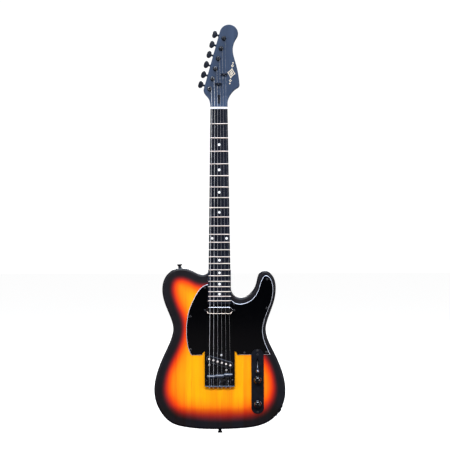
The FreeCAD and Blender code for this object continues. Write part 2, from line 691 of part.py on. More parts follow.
def make_switch_screws():
    return [machine_screw(CONTROL_X, SWITCH_Z + s * 20.6, PLATE_THICKNESS, 8.0, 2.8) for s in (-1, 1)]


def make_pickup_springs():
    bridge = [(x, z, front(-0.2), front(COIL_LOW_H) - 0.2) for x, z in HEIGHT_SCREWS]
    neck = [(x, z, front(-0.2), front(COIL_LOW_H) - 0.2) for x, z in NECK_HEIGHT_SCREWS]
    rings = []
    for x, z, top, bottom in bridge + neck:
        for k in range(5):
            y = top + 0.5 + (bottom - top - 1.0) * k / 4
            rings.append(ring(2.2, 0.35, Vector(x, y, z), Vector(0, 1, 0)))
    return rings


def pole_places():
    tilt = math.radians(PICKUP_SLANT)
    places = []
    for i in range(6):
        x = string_x(i, BRIDGE_SPACING)
        places.append((x, BRIDGE_PICKUP_Z - x * math.tan(tilt)))
    return places


def make_bridge_magnets():
    magnets = []
    for x, z in pole_places():
        magnet = disc(x, z, 2.4, front(10.9), front(-9.8))
        magnets.append(magnet.makeFillet(0.5, [e for e in magnet.Edges if e.CenterOfMass.y < front(10.8)]))
    return magnets


def make_bridge_bobbin(magnets):
    top = stadium(0, BRIDGE_PICKUP_Z, 68.0, 16.6, front(10.3), front(8.1), tilt=-PICKUP_SLANT)
    top = top.makeFillet(0.6, [e for e in top.Edges if e.CenterOfMass.y < front(10.2)])
    bottom = stadium(0, BRIDGE_PICKUP_Z, 66.5, 16.0, front(COIL_LOW_H), front(COIL_LOW_H - 2.4), tilt=-PICKUP_SLANT)
    ears = [disc(x, z, 4.2, front(COIL_LOW_H), front(COIL_LOW_H - 2.4)) for x, z in HEIGHT_SCREWS]
    arms = [block(0.5, 8, front(COIL_LOW_H), front(COIL_LOW_H - 2.4), 168, 180.6),
            block(-29, -22, front(COIL_LOW_H), front(COIL_LOW_H - 2.4), 157.2, 170),
            block(12.5, 19.5, front(COIL_LOW_H), front(COIL_LOW_H - 2.4), 144.9, 160)]
    base = bottom.fuse(ears + arms)
    base = base.cut([disc(x, z, 1.45 + RUNNING_GAP, front(0), front(-14)) for x, z in HEIGHT_SCREWS])
    return [top.cut(magnets), base.cut(magnets)]


def make_bridge_coil(magnets):
    coil = stadium(0, BRIDGE_PICKUP_Z, 64.5, 13.0, front(8.1), front(COIL_LOW_H), tilt=-PICKUP_SLANT)
    return coil.cut(magnets)


def make_neck_cover():
    outer = stadium(0, NECK_PICKUP_Z, 63.5, 17.0, front(9.4), front(COIL_LOW_H))
    outer = outer.makeFillet(1.4, [e for e in outer.Edges if e.CenterOfMass.y < front(9.3)])
    inner = stadium(0, NECK_PICKUP_Z, 62.3, 15.8, front(8.8), front(COIL_LOW_H) + 1)
    return outer.cut(inner)


def make_neck_coil():
    coil = stadium(0, NECK_PICKUP_Z, 61.9, 15.4, front(8.2), front(COIL_LOW_H))
    base = stadium(0, NECK_PICKUP_Z, 79.5, 11.0, front(COIL_LOW_H), front(COIL_LOW_H - 1.6))
    base = base.fuse(stadium(0, NECK_PICKUP_Z, 63.5, 17.0, front(COIL_LOW_H), front(COIL_LOW_H - 1.6)))
    base = base.cut([disc(x, z, 1.45 + RUNNING_GAP, front(0), front(-14)) for x, z in NECK_HEIGHT_SCREWS])
    return [coil, base]


# ---- pickguard and controls ----
def guard_outline():
    bass = spline([(-28.2, 353.8), (-46.6, 343.6), (-58.6, 326.6), (-69.6, 304.2), (-77.3, 281.0),
                   (-81.2, 250.0), (-80.8, 222.0), (-77.4, 199.5), (-68.9, 180.2)])
    bass_foot = line((-68.9, 180.2), (-42.4, 180.8))
    bass_step = spline([(-42.4, 180.8), (-41.2, 187.2), (-37.2, 190.2)])
    over_bridge = line((-37.2, 190.2), (37.2, 190.2))
    treble_step = spline([(37.2, 190.2), (41.2, 187.2), (42.4, 180.8)])
    treble_foot = line((42.4, 180.8), (123.8, 181.6))
    treble = spline([(123.8, 181.6), (114.9, 200.5), (107.4, 222.0), (104.9, 240.5), (107.8, 260.0),
                     (115.6, 284.0), (124.6, 306.0), (130.4, 332.0), (128.6, 357.0), (121.0, 371.0),
                     (112.2, 374.8), (104.6, 368.2), (96.4, 346.3), (88.6, 328.0), (77.0, 315.2),
                     (61.0, 307.2), (45.0, 306.0), (28.2, 316.1)])
    high = NUT_Z - BOARD_END - 0.3
    neck_side = line((28.2, 316.1), (28.2, high))
    neck_end = line((28.2, high), (-28.2, high))
    bass_side = line((-28.2, high), (-28.2, 353.8))
    return [bass, bass_foot, bass_step, over_bridge, treble_step, treble_foot, treble,
            neck_side, neck_end, bass_side]


def make_pickguard(screws):
    outline = guard_outline()
    guard = prism(outline, front(GUARD_THICKNESS), front(0))
    bevelled = [outline[0], outline[1], outline[5], outline[6]]
    middles = [e.CenterOfMass for e in bevelled]
    chosen = []
    for edge in guard.Edges:
        centre = edge.CenterOfMass
        if abs(centre.y - front(GUARD_THICKNESS)) < 0.01:
            if any(abs(centre.x - m.x) < 0.2 and abs(centre.z - m.z) < 0.2 for m in middles):
                chosen.append(edge)
    guard = guard.makeChamfer(GUARD_BEVEL, chosen)
    openings = [stadium(0, NECK_PICKUP_Z, 64.3, 17.8, front(5), front(-1)),
                stadium(CONTROL_X, CONTROL_Z, CONTROL_LENGTH + 0.8, CONTROL_WIDTH + 0.8, front(5), front(-1), tilt=90)]
    return guard.cut(openings + screws)


GUARD_SCREWS = [(-35.3, 344.8), (-71.2, 274.9), (-70.8, 194.6), (60.1, 186.4), (113.4, 187.3),
                (114.8, 294.4), (115.5, 365.0), (35.8, 304.9)]


def make_small_screws():
    screws = [countersunk(x, z, front(GUARD_THICKNESS), 12.0) for x, z in GUARD_SCREWS]
    for side in (-1, 1):
        z = CONTROL_Z + side * (CONTROL_LENGTH / 2 - 4.4)
        screws.append(countersunk(CONTROL_X, z, front(PLATE_THICKNESS), 11.0))
    screws += jack_screws()
    screws += make_tree_screws()
    screws += [tuner_place(make_tuner_screw(), i) for i in range(6)]
    return screws


def make_control_plate(screws):
    plate = stadium(CONTROL_X, CONTROL_Z, CONTROL_LENGTH, CONTROL_WIDTH, front(PLATE_THICKNESS), front(0), tilt=90)
    plate = plate.makeFillet(0.4, [e for e in plate.Edges if e.CenterOfMass.y < front(PLATE_THICKNESS) + 0.1])
    holes = [disc(CONTROL_X, z, 4.8, front(3), front(-1)) for z in POT_Z]
    holes.append(stadium(CONTROL_X, SWITCH_Z, 28.0, 2.8, front(3), front(-1), tilt=90))
    return plate.cut(holes + screws)


def make_pot(z):
    can = disc(CONTROL_X, z, 12.0, front(-2.2), front(-11.0))
    rim = [e for e in can.Edges if e.CenterOfMass.y > front(-10.9)]
    can = can.makeFillet(0.8, rim)
    bushing = disc(CONTROL_X, z, 4.75, front(6.4), front(-2.3))
    lugs = [block(CONTROL_X + dx - 1, CONTROL_X + dx + 1, front(-3.4), front(-4.2), z + 10, z + 15)
            for dx in (-5, 0, 5)]
    pot = can.fuse([bushing] + lugs).removeSplitter()
    return pot.cut(disc(CONTROL_X, z, SHAFT_RADIUS + RUNNING_GAP, front(8), front(-10.0)))


def hex_nut(across_flats, thickness, bore):
    corner = across_flats / math.sqrt(3)
    points = [(corner * math.cos(math.radians(60 * k)), corner * math.sin(math.radians(60 * k))) for k in range(6)]
    nut = polygon(points, -thickness, 0)
    return nut.cut(disc(0, 0, bore, -thickness - 1, 1))


def make_panel_nuts():
    nuts = []
    for z in POT_Z:
        nut = hex_nut(12.4, 2.2, 4.75)
        nut.translate(Vector(CONTROL_X, front(PLATE_THICKNESS), z))
        nuts.append(nut)
    nut = hex_nut(12.4, 2.2, 4.75)
    nut.rotate(Vector(0, 0, 0), Vector(0, 0, 1), 90)
    nut.rotate(Vector(0, 0, 0), Vector(0, 1, 0), jack_angle())
    nut.translate(Vector(JACK_X, 0, JACK_Z))
    return nuts + [nut]


def make_pot_shaft(z):
    return disc(CONTROL_X, z, SHAFT_RADIUS, front(15.0), front(-9.6))


def make_knob(z):
    low = front(2.3)
    high = front(18.6)
    profile = [(0, high), (3.4, high + 0.25), (6.3, high + 1.3), (8.2, high + 3.0), (9.1, high + 5.0),
               (9.3, low - 1.6), (9.5, low - 1.2), (9.5, low), (8.4, low), (8.4, front(7.0)),
               (SHAFT_RADIUS, front(7.0)), (SHAFT_RADIUS, front(15.0)), (0, front(15.0))]
    return revolve_y(profile, CONTROL_X, z)


def pivot():
    return Vector(CONTROL_X, front(SWITCH_PIVOT_H), SWITCH_Z)


def lever_place(shape):
    """Turns a lever made straight out of the plate (along -Y from the pivot) down to its rest angle."""
    shape.rotate(Vector(0, 0, 0), Vector(1, 0, 0), SWITCH_REST_ANGLE)
    shape.translate(pivot())
    return shape


def make_switch_lever():
    blade = block(-0.6, 0.6, -36.0, 6.0, -2.4, 2.4)
    blade = blade.cut(rod(Vector(-3, 0, 0), Vector(3, 0, 0), 1.2 + RUNNING_GAP))
    return lever_place(blade)


def make_switch_tip():
    profile = [(0, -41.4), (1.8, -41.2), (2.9, -40.2), (3.2, -38.6), (2.7, -33.0), (2.5, -27.4), (2.9, -26.4),
               (2.9, -26.0), (0, -26.0)]
    tip = revolve_y(profile)
    tip = tip.cut(block(-0.6, 0.6, -36.0, -20.0, -2.4, 2.4))
    return lever_place(tip)


def make_switch_frame():
    x = CONTROL_X
    top = front(0)
    flange = block(x - 6.5, x + 6.5, top, top + 1.2, SWITCH_Z - 23.4, SWITCH_Z + 23.4)
    wall = block(x + 5.3, x + 6.5, top, front(-26), SWITCH_Z - 17, SWITCH_Z + 17)
    wafer = block(x - 6.5, x - 5.3, top, front(-26), SWITCH_Z - 17, SWITCH_Z + 17)
    pin = rod(Vector(x - 6.4, pivot().y, SWITCH_Z), Vector(x + 6.4, pivot().y, SWITCH_Z), 1.2)
    slot = block(x - 2.4, x + 2.4, top - 1, top + 2, SWITCH_Z - 15.5, SWITCH_Z + 15.5)
    frame = flange.fuse([wall, wafer]).cut(slot)
    return frame.fuse(pin).removeSplitter()


def make_capacitor():
    return rod(Vector(CONTROL_X - 4, front(-20), 83), Vector(CONTROL_X - 4, front(-20), 99), 4.0)


# ---- jack ----
def jack_angle():
    """Turn about Y that brings +X round to the jack plate's outward normal."""
    return math.degrees(math.atan2(-JACK_NORMAL.z, JACK_NORMAL.x))


def jack_place(shape):
    shape.rotate(Vector(0, 0, 0), Vector(0, 1, 0), jack_angle())
    shape.translate(Vector(JACK_X, 0, JACK_Z))
    return shape


def jack_screws():
    screws = []
    for y, z in ((-13.0, 11.0), (13.0, 11.0), (-13.0, -11.0), (13.0, -11.0)):
        screw = countersunk(0, 0, 0, 12.0, 2.3, 1.2)
        screw.rotate(Vector(0, 0, 0), Vector(0, 0, 1), 90)
        screw.translate(Vector(0, y, z))
        screws.append(jack_place(screw))
    return screws


def make_jack_plate(screws):
    plate = block(-PLATE_THICKNESS, 0, -17.0, 17.0, -15.0, 15.0)
    plate = plate.makeFillet(3.0, [e for e in plate.Edges if abs(abs(e.CenterOfMass.y) - 17) < 0.1
                                   and abs(abs(e.CenterOfMass.z) - 15) < 0.1])
    plate = plate.cut(rod(Vector(-5, 0, 0), Vector(5, 0, 0), 4.8))
    return jack_place(plate).cut(screws)


def make_jack():
    bushing = rod(Vector(-6, 0, 0), Vector(3.4, 0, 0), 4.75)
    shell = rod(Vector(-27, 0, 0), Vector(-PLATE_THICKNESS - 0.1, 0, 0), 8.0)
    tail = block(-33, -26.9, -3, 3, -1, 1)
    bore = rod(Vector(-22, 0, 0), Vector(5, 0, 0), JACK_BORE_RADIUS)
    return jack_place(bushing.fuse([shell, tail]).removeSplitter().cut(bore))


# ---- fasteners and small hardware ----
NECK_SCREWS = [(-15.0, 317.0), (15.0, 317.0), (-15.0, 355.0), (15.0, 334.0)]


def make_neck_plate(screws):
    corners = [(-22.5, 309.0), (22.5, 309.0), (22.5, 338.4), (-22.5, 371.0)]
    plate = polygon(corners, BACK_Y, BACK_Y + 1.8)
    uprights = [e for e in plate.Edges if abs(e.CenterOfMass.y - BACK_Y - 0.9) < 0.1]
    plate = plate.makeFillet(4.0, uprights)
    return plate.cut(screws)


def make_neck_screws():
    return [countersunk(x, z, BACK_Y + 1.8, 44.0, 4.2, 2.1, toward=-1) for x, z in NECK_SCREWS]


def strap_places():
    """Each strap button's foot and the direction that it stands out in."""
    return [(Vector(0, 0, 0), Vector(0, 0, -1)), (Vector(-97.0, 0, 391.6), Vector(-0.105, 0, 0.9945))]


def revolve_along(profile, foot, direction):
    """Turns a closed (radius, height) profile about a line from foot along direction."""
    closed = profile + profile[:1]
    wire = Part.makePolygon([Vector(r, 0, h) for r, h in closed])
    solid = Part.Face(wire).revolve(Vector(0, 0, 0), Vector(0, 0, 1), 360)
    turn = FreeCAD.Rotation(Vector(0, 0, 1), direction)
    solid.Placement = FreeCAD.Placement(foot, turn)
    return solid


def make_strap_buttons():
    profile = [(5.2, -0.4), (5.2, 0.5), (4.2, 2.0), (3.5, 3.6), (3.6, 5.2), (5.2, 7.6), (6.1, 8.8), (6.1, 9.7),
               (5.6, 10.2), (4.2, 10.4), (3.6, 8.7), (1.9, 7.0), (1.9, -0.4)]
    return [revolve_along(profile, foot, way) for foot, way in strap_places()]


def make_strap_screws():
    profile = [(0, 9.6), (2.2, 9.4), (3.4, 8.9), (3.55, 8.7), (1.85, 7.0), (1.85, -26.0), (0, -29.0)]
    return [revolve_along(profile, foot, way) for foot, way in strap_places()]


def make_wiring():
    y = front(-14.0)
    low = front(-10.0)
    pickup_lead = [Vector(-3, low, 280), Vector(-3, low, 188), Vector(-4, front(-14.6), 178),
                   Vector(14, front(-14.6), 168.5), Vector(30, front(-14.0), 166),
                   Vector(80, front(-13.5), 151.2), Vector(84, front(-15), 146)]
    jack_lead = [jack_point(33.2), jack_point(44), Vector(98, 0, 78), Vector(98, front(-14), 84),
                 Vector(98, front(-14), 103)]
    link = [Vector(84, y, 80), Vector(83, y, 110), Vector(84, front(-16), 142)]
    return [bent_wire(path, 1.1, 5.0) for path in (pickup_lead, jack_lead, link)]


# ---- assembly ----
def main():
    frets, tangs = make_frets()
    dots = make_dots()
    board = board_blank(BOARD_TOP_Y - 1).common(crown_cylinder(0)).cut(tangs + dots)
    small_screws = make_small_screws()
    bridge_screws = make_bridge_screws()
    height_screws = make_height_screws()
    switch_screws = make_switch_screws()
    neck_screws = make_neck_screws()
    strap_buttons = make_strap_buttons()
    strap_screws = make_strap_screws()
    truss_rod = make_truss_rod()
    bushings = [tuner_place(make_tuner_bushing(), i) for i in range(6)]
    wiring = make_wiring()

    save("body", make_body(small_screws + bridge_screws + neck_screws + strap_buttons + strap_screws))
    save("pickguard", make_pickguard(small_screws + height_screws))
    save("control_plate", make_control_plate(small_screws + switch_screws))
    save("small_wood_screws", *small_screws)
    bushing_holes = [tuner_place(disc(0, 0, 5.0, -30, 0), i) for i in range(6)]
    save("neck", make_neck(small_screws + neck_screws + bushing_holes + [truss_rod]))
    save("fretboard", board)
    save("frets", *frets)
    save("position_dots", *dots)
    save("nut", make_nut())
    save("truss_rod", truss_rod)
    save("truss_rod_nut", make_truss_rod_nut())
    save("string_trees", *[make_string_tree(x, z).cut(small_screws) for x, z, held in TREES])
    save("neck_plate", make_neck_plate(neck_screws))
    save("neck_screws", *neck_screws)
    save("strap_buttons", *strap_buttons)
    save("strap_button_screws", *strap_screws)
    save("bridge_plate", make_bridge_plate(bridge_screws + height_screws))
    save("bridge_screws", *bridge_screws)
    for i, side in enumerate(("bass", "middle", "treble")):
        save("saddle_" + side, *make_saddle(i))
        save("intonation_screw_" + side, make_intonation_screw(i))
    save("intonation_springs", *make_intonation_springs())
    save("strings", *make_strings())
    magnets = make_bridge_magnets()
    save("neck_pickup_cover", make_neck_cover())
    save("neck_pickup_coil", *make_neck_coil())
    save("bridge_pickup_bobbin", *make_bridge_bobbin(magnets))
    save("bridge_pickup_magnets", *magnets)
    save("bridge_pickup_coil", make_bridge_coil(magnets))
    save("machine_screws", *(height_screws + switch_screws))
    save("pickup_springs", *make_pickup_springs())
    save("switch_frame", make_switch_frame().cut(switch_screws))
    save("switch_lever", make_switch_lever())
    save("switch_tip", make_switch_tip())
    save("potentiometers", *[make_pot(z) for z in POT_Z])
    save("panel_nuts", *make_panel_nuts())
    for name, z in zip(("volume", "tone"), POT_Z):
        save(name + "_shaft", make_pot_shaft(z))
        save(name + "_knob", make_knob(z))
    save("capacitor", make_capacitor())
    save("jack_plate", make_jack_plate(small_screws))
    save("output_jack", make_jack())
    save("wiring", *wiring)
    save("tuner_housings", *[tuner_place(make_tuner_housing(), i).cut(small_screws) for i in range(6)])
    save("tuner_bushings", *bushings)
    for i in range(6):
        number = 6 - i
        save("tuner_key_%d" % number, *[tuner_place(s, i) for s in make_tuner_key()])
        save("tuner_post_%d" % number, *[tuner_place(s, i) for s in make_tuner_post(i)])


main()
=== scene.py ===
"""Looks for the six-string electric guitar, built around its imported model. Metres, with +Z up the neck."""
import json
import math

import bmesh
import bpy
import numpy as np
from mathutils import Matrix, Vector


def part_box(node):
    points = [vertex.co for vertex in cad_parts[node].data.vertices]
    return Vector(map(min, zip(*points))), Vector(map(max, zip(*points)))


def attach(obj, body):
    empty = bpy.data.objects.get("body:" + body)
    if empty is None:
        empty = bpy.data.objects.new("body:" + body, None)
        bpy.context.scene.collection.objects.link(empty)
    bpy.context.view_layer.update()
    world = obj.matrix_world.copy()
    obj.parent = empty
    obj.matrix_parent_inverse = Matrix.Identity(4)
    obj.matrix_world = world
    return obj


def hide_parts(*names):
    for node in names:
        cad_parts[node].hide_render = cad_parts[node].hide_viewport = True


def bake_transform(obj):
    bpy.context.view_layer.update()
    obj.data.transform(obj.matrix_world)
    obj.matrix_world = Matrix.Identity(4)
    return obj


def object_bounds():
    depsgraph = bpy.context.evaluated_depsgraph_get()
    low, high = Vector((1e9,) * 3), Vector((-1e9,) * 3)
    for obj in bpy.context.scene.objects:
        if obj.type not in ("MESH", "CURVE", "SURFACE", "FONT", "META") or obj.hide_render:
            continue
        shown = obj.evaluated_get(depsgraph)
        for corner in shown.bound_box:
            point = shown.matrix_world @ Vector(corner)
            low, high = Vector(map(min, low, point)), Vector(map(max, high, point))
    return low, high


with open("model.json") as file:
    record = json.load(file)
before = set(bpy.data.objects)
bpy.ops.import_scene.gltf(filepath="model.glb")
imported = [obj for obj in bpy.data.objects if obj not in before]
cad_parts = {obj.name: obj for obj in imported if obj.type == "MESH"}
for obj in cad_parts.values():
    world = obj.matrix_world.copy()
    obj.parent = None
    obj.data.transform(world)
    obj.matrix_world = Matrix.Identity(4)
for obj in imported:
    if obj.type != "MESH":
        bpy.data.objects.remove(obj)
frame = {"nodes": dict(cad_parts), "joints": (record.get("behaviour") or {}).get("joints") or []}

bpy.context.view_layer.update()
CAD_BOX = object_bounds()

MM = 0.001
NODES = frame["nodes"]
JOINTS = {joint["name"]: joint for joint in frame["joints"]}

# ---- the design's dimensions, in millimetres ----
FACE_Y = -22.5                 # front face of the body
HEAD_FACE_Y = -21.0            # front face of the headstock
GUARD_TOP_Y = -25.0
STRING_RADII = [0.584, 0.457, 0.330, 0.216, 0.165, 0.127]      # bass to treble
WOUND_STRINGS = 3
NUT_SPACING = 6.88
BRIDGE_SPACING = 10.2
NUT_Z = 779.4
NUT_LENGTH = 4.8
STRING_Y_AT_NUT = -33.4        # underside of the strings
STRING_HOLE_Y = -28.5
BRIDGE_LOW_Z = 105.4
BRIDGE_SHEET = 2.0
BRIDGE_LIP_Y = -35.5           # front edge of the plate's rear lip
BARREL_RADIUS = 4.0
BOARD_RADIUS = 305.0
POST_RADIUS = 3.0
TURN_GAP = 0.09                # between a post and the turns of its string
NECK_JOINT = (28.2, 300.0, 386.0)      # half width, low and high of the body under the neck
GUARD_MEETS_NECK_Z = 351.0     # top of the guard beside the neck
FIRST_TURN_Y = -25.3
POST_HOLE_Y = -28.4
TREES = {2: 840.2, 3: 840.2, 4: 863.3, 5: 863.3}       # string to the height of the tree that holds it
STRING_Y_AT_TREE = -25.2
FACE_SKIN = 0.6                # under the faces by more than this, and further than RIM_SKIN from the rim,
RIM_SKIN = 6.2                 # the body is a cavity's wall and is painted black
SADDLES = ["saddle_bass", "saddle_middle", "saddle_treble"]


# ---- shaders ----
def srgb(red, green, blue):
    """A colour given in 0 to 255 display values, as linear RGBA."""
    linear = []
    for value in (red, green, blue):
        share = value / 255
        linear.append(share / 12.92 if share <= 0.04045 else ((share + 0.055) / 1.055) ** 2.4)
    return (*linear, 1.0)


class Shader:
    """One material and a short call for each kind of node it needs."""

    def __init__(self, name, **inputs):
        self.material = bpy.data.materials.new(name)
        self.material.use_nodes = True
        self.tree = self.material.node_tree
        self.surface = self.tree.nodes["Principled BSDF"]
        coordinates = self.add("ShaderNodeTexCoord")
        self.place = coordinates.outputs["Object"]
        self.surface_normal = coordinates.outputs["Normal"]
        for key, value in inputs.items():
            self.surface.inputs[key.replace("_", " ")].default_value = value

    def add(self, kind, inputs=None, **settings):
        node = self.tree.nodes.new(kind)
        for key, value in settings.items():
            setattr(node, key, value)
        for key, value in (inputs or {}).items():
            if isinstance(value, bpy.types.NodeSocket):
                self.tree.links.new(value, node.inputs[key])
            else:
                node.inputs[key].default_value = value
        return node

    def set(self, name, socket):
        self.tree.links.new(socket, self.surface.inputs[name])

    def noise(self, scale, detail=3.0, roughness=0.5, stretch=(1, 1, 1), distortion=0.0):
        """Fractal noise with about this many lumps to the metre, drawn out where stretch is small."""
        mapping = self.add("ShaderNodeMapping", {"Vector": self.place, "Scale": stretch})
        inputs = {"Vector": mapping.outputs[0], "Scale": scale, "Detail": detail,
                  "Roughness": roughness, "Distortion": distortion}
        return self.add("ShaderNodeTexNoise", inputs).outputs["Fac"]

    def span(self, value, low, high, to_low=0.0, to_high=1.0):
        inputs = {"Value": value, "From Min": low, "From Max": high, "To Min": to_low, "To Max": to_high}
        return self.add("ShaderNodeMapRange", inputs).outputs[0]

    def math(self, operation, a, b=0.0):
        return self.add("ShaderNodeMath", {0: a, 1: b}, operation=operation).outputs[0]

    def both(self, a, b):
        """1 where two masks are both 1."""
        return self.math("MULTIPLY", a, b)

    def between(self, value, low, high):
        """A mask that is 1 where low < value < high."""
        return self.both(self.math("GREATER_THAN", value, low), self.math("LESS_THAN", value, high))

    def axis(self, letter):
        return self.add("ShaderNodeSeparateXYZ", {0: self.place}).outputs[letter]

    def attribute(self, name):
        return self.add("ShaderNodeAttribute", attribute_name=name).outputs["Fac"]

    def ramp(self, value, *stops):
        node = self.add("ShaderNodeValToRGB", {"Fac": value})
        elements = node.color_ramp.elements
        while len(elements) < len(stops):
            elements.new(0.5)
        for element, (place, colour) in zip(elements, stops):
            element.position = place
            element.color = colour
        return node.outputs["Color"]

    def mix(self, factor, a, b, blend="MIX"):
        node = self.add("ShaderNodeMix", {0: factor, 6: a, 7: b}, data_type="RGBA", blend_type=blend)
        return node.outputs[2]

    def bump(self, height, distance, strength=1.0):
        inputs = {"Height": height, "Distance": distance, "Strength": strength}
        self.set("Normal", self.add("ShaderNodeBump", inputs).outputs[0])


# how far the painted shade reaches on the body's front beyond the bridge, round the control plate and beside
# the neck
MARGIN_PAST_BRIDGE = 4.0
MARGIN_ROUND_PLATE = 2.0
MARGIN_BESIDE_NECK = 1.5


def painted_gap_shade_boxes():
    """Boxes on the body's front, in the gaps between two covering parts, where shade is painted black."""
    bridge_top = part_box("bridge_plate")[1]
    plate_low, plate_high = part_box("control_plate")
    guard_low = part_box("pickguard")[0].z
    half_joint = (NECK_JOINT[0] + MARGIN_BESIDE_NECK) * MM
    past = MARGIN_PAST_BRIDGE * MM
    around = MARGIN_ROUND_PLATE * MM
    return [(Vector((-bridge_top.x, 0, bridge_top.z - MM)), Vector((bridge_top.x, 0, bridge_top.z + past))),
            (Vector((plate_low.x - around, 0, guard_low + MM)), plate_high + Vector((around, 0, around))),
            (Vector((-half_joint, 0, NECK_JOINT[1] * MM)), Vector((half_joint, 0, GUARD_MEETS_NECK_Z * MM)))]


def cavity_paint_and_gap_shade_mask(s):
    """1 on the cavities' walls and floors, which are painted black, and on the painted shade in the gaps
    beside them.
    """
    sunk = s.math("LESS_THAN", s.math("ABSOLUTE", s.axis("Y")), (-FACE_Y - FACE_SKIN) * MM)
    away_from_rim = s.math("GREATER_THAN", s.attribute("rim_distance"), RIM_SKIN * MM)
    cavity_paint_and_gap_shade = s.both(sunk, away_from_rim)
    front = s.math("LESS_THAN", s.axis("Y"), 0.0)
    for low, high in painted_gap_shade_boxes():
        # painted shade: boxes on the front face in the gaps between covering parts
        in_painted_shade = s.both(s.between(s.axis("X"), low.x, high.x), s.between(s.axis("Z"), low.z, high.z))
        cavity_paint_and_gap_shade = s.math("MAXIMUM", cavity_paint_and_gap_shade, s.both(in_painted_shade, front))
    return cavity_paint_and_gap_shade


def burst_depth(s):
    """Metres from the rim, with a wandering edge, less black at the right waist and a slow fade below."""
    wander = s.span(s.noise(9.0, 2.0), 0.3, 0.7, -0.0025, 0.0025)
    right_waist = s.ramp(s.span(s.axis("Z"), 0.07, 0.25), (0.0, (0, 0, 0, 1)), (0.35, (0.6, 0.6, 0.6, 1)),
                         (0.65, (1, 1, 1, 1)), (0.85, (1, 1, 1, 1)), (1.0, (0, 0, 0, 1)))
    shifted = s.math("MULTIPLY", right_waist, s.span(s.axis("X"), 0.09, 0.12, 0.0, 0.0042))
    rim = s.math("ADD", s.math("ADD", s.attribute("rim_distance"), wander), shifted)
    beyond = s.math("MAXIMUM", s.math("SUBTRACT", rim, 0.019), 0.0)
    slowed = s.span(s.axis("Z"), 0.03, 0.13, 0.42, 0.0)
    return s.math("SUBTRACT", rim, s.math("MULTIPLY", beyond, slowed))


def burst_colour(s):
    """Black at the rim, then red and orange, and amber within."""
    reach = 0.08
    black = (0.0046, 0.0048, 0.0080, 1)
    stops = [(0.0, black), (0.016, black), (0.0195, srgb(38, 17, 24)), (0.0228, srgb(88, 21, 26)),
             (0.0258, srgb(138, 28, 27)), (0.0288, srgb(184, 42, 20)), (0.0322, srgb(216, 64, 8)),
             (0.037, srgb(242, 94, 0)), (0.0415, srgb(249, 124, 0)), (0.047, srgb(250, 144, 0)),
             (0.055, srgb(250, 158, 0)), (0.068, srgb(250, 168, 0))]
    shares = [(place / reach, colour) for place, colour in stops]
    return s.ramp(s.math("DIVIDE", burst_depth(s), reach), *shares)


def sunburst():
    """Satin lacquer over close-grained wood, browner near the butt end, with black cavities and painted shade
    in the gaps beside the plates and the neck.
    """
    s = Shader("satin_sunburst", Specular_IOR_Level=0.2)
    browned = s.ramp(s.span(s.axis("Z"), 0.02, 0.07), (0.08, (1, 1, 1, 1)), (0.34, (0.72, 0.92, 0.6, 1)),
                     (0.52, (0.74, 0.94, 0.6, 1)), (0.8, (1, 1, 1, 1)))
    toned = s.mix(1.0, burst_colour(s), browned, "MULTIPLY")
    figure = s.noise(26.0, 3.0, 0.5, (1, 1, 0.045), 1.2)
    near_butt = s.span(s.axis("Z"), 0.03, 0.13, 0.85, 0.42)
    strength = s.math("MULTIPLY", s.span(figure, 0.42, 0.72), near_butt)
    figured = s.mix(strength, toned, srgb(246, 120, 0), "MULTIPLY")
    pores = s.noise(420.0, 2.0, 0.6, (1, 1, 0.03))
    dark_lines = s.span(pores, 0.55, 0.75, 0.0, 0.34)
    wood = s.mix(dark_lines, figured, srgb(205, 105, 30), "MULTIPLY")
    # the cavities' black paint, and painted shade in the gaps between covering parts
    s.set("Base Color", s.mix(cavity_paint_and_gap_shade_mask(s), wood, (0.003, 0.003, 0.0035, 1)))
    s.set("Roughness", s.span(s.noise(60.0, 4.0), 0.3, 0.7, 0.37, 0.44))
    s.bump(s.noise(900.0, 3.0, 0.6, (1, 1, 0.06)), 0.00006, 0.35)
    return s.material


def guard_plastic():
    """Polished sheet of three plies, black, white and black, which show on the bevel."""
    s = Shader("three_ply_plastic", Specular_IOR_Level=0.4)
    ply = s.span(s.axis("Y"), GUARD_TOP_Y * MM, FACE_Y * MM)
    black = (0.0007, 0.0008, 0.0012, 1)
    white = srgb(236, 240, 250)
    layers = s.ramp(ply, (0.0, black), (0.20, black), (0.24, white), (0.50, white), (0.54, black))
    s.set("Base Color", layers)
    s.set("Roughness", s.span(s.noise(140.0, 5.0, 0.6), 0.35, 0.7, 0.05, 0.12))
    s.bump(s.noise(2500.0, 3.0, 0.7), 0.00001, 0.15)
    return s.material


# the truss rod's channel, where it opens on the headstock
ROD_CHANNEL_Y = (HEAD_FACE_Y + 0.4, -14.5)
ROD_CHANNEL_HALF_WIDTH = 3.6
ROD_CHANNEL_LOW_Z = NUT_Z + 9


def stained_neck():
    """Blue-black satin stain over maple, with the grain just showing, and painted shade, near-black, inside
    the rod's channel.
    """
    s = Shader("satin_stain", Specular_IOR_Level=0.12)
    grain = s.noise(120.0, 5.0, 0.55, (1, 1, 0.05), 0.6)
    stain = s.ramp(grain, (0.3, (0.021, 0.035, 0.066, 1)), (0.62, (0.026, 0.043, 0.080, 1)),
                   (0.8, (0.032, 0.051, 0.091, 1)))
    low_y, high_y = (value * MM for value in ROD_CHANNEL_Y)
    central = s.math("LESS_THAN", s.math("ABSOLUTE", s.axis("X")), ROD_CHANNEL_HALF_WIDTH * MM)
    past_nut = s.math("GREATER_THAN", s.axis("Z"), ROD_CHANNEL_LOW_Z * MM)
    # painted shade: the rod's channel, where shade falls, is painted near-black
    in_painted_shade = s.both(s.between(s.axis("Y"), low_y, high_y), s.both(central, past_nut))
    s.set("Base Color", s.mix(in_painted_shade, stain, (0.002, 0.002, 0.003, 1)))
    s.set("Roughness", s.span(s.noise(40.0, 4.0), 0.3, 0.7, 0.46, 0.58))
    s.bump(s.noise(1400.0, 4.0, 0.6, (1, 1, 0.08)), 0.00005, 0.3)
    return s.material


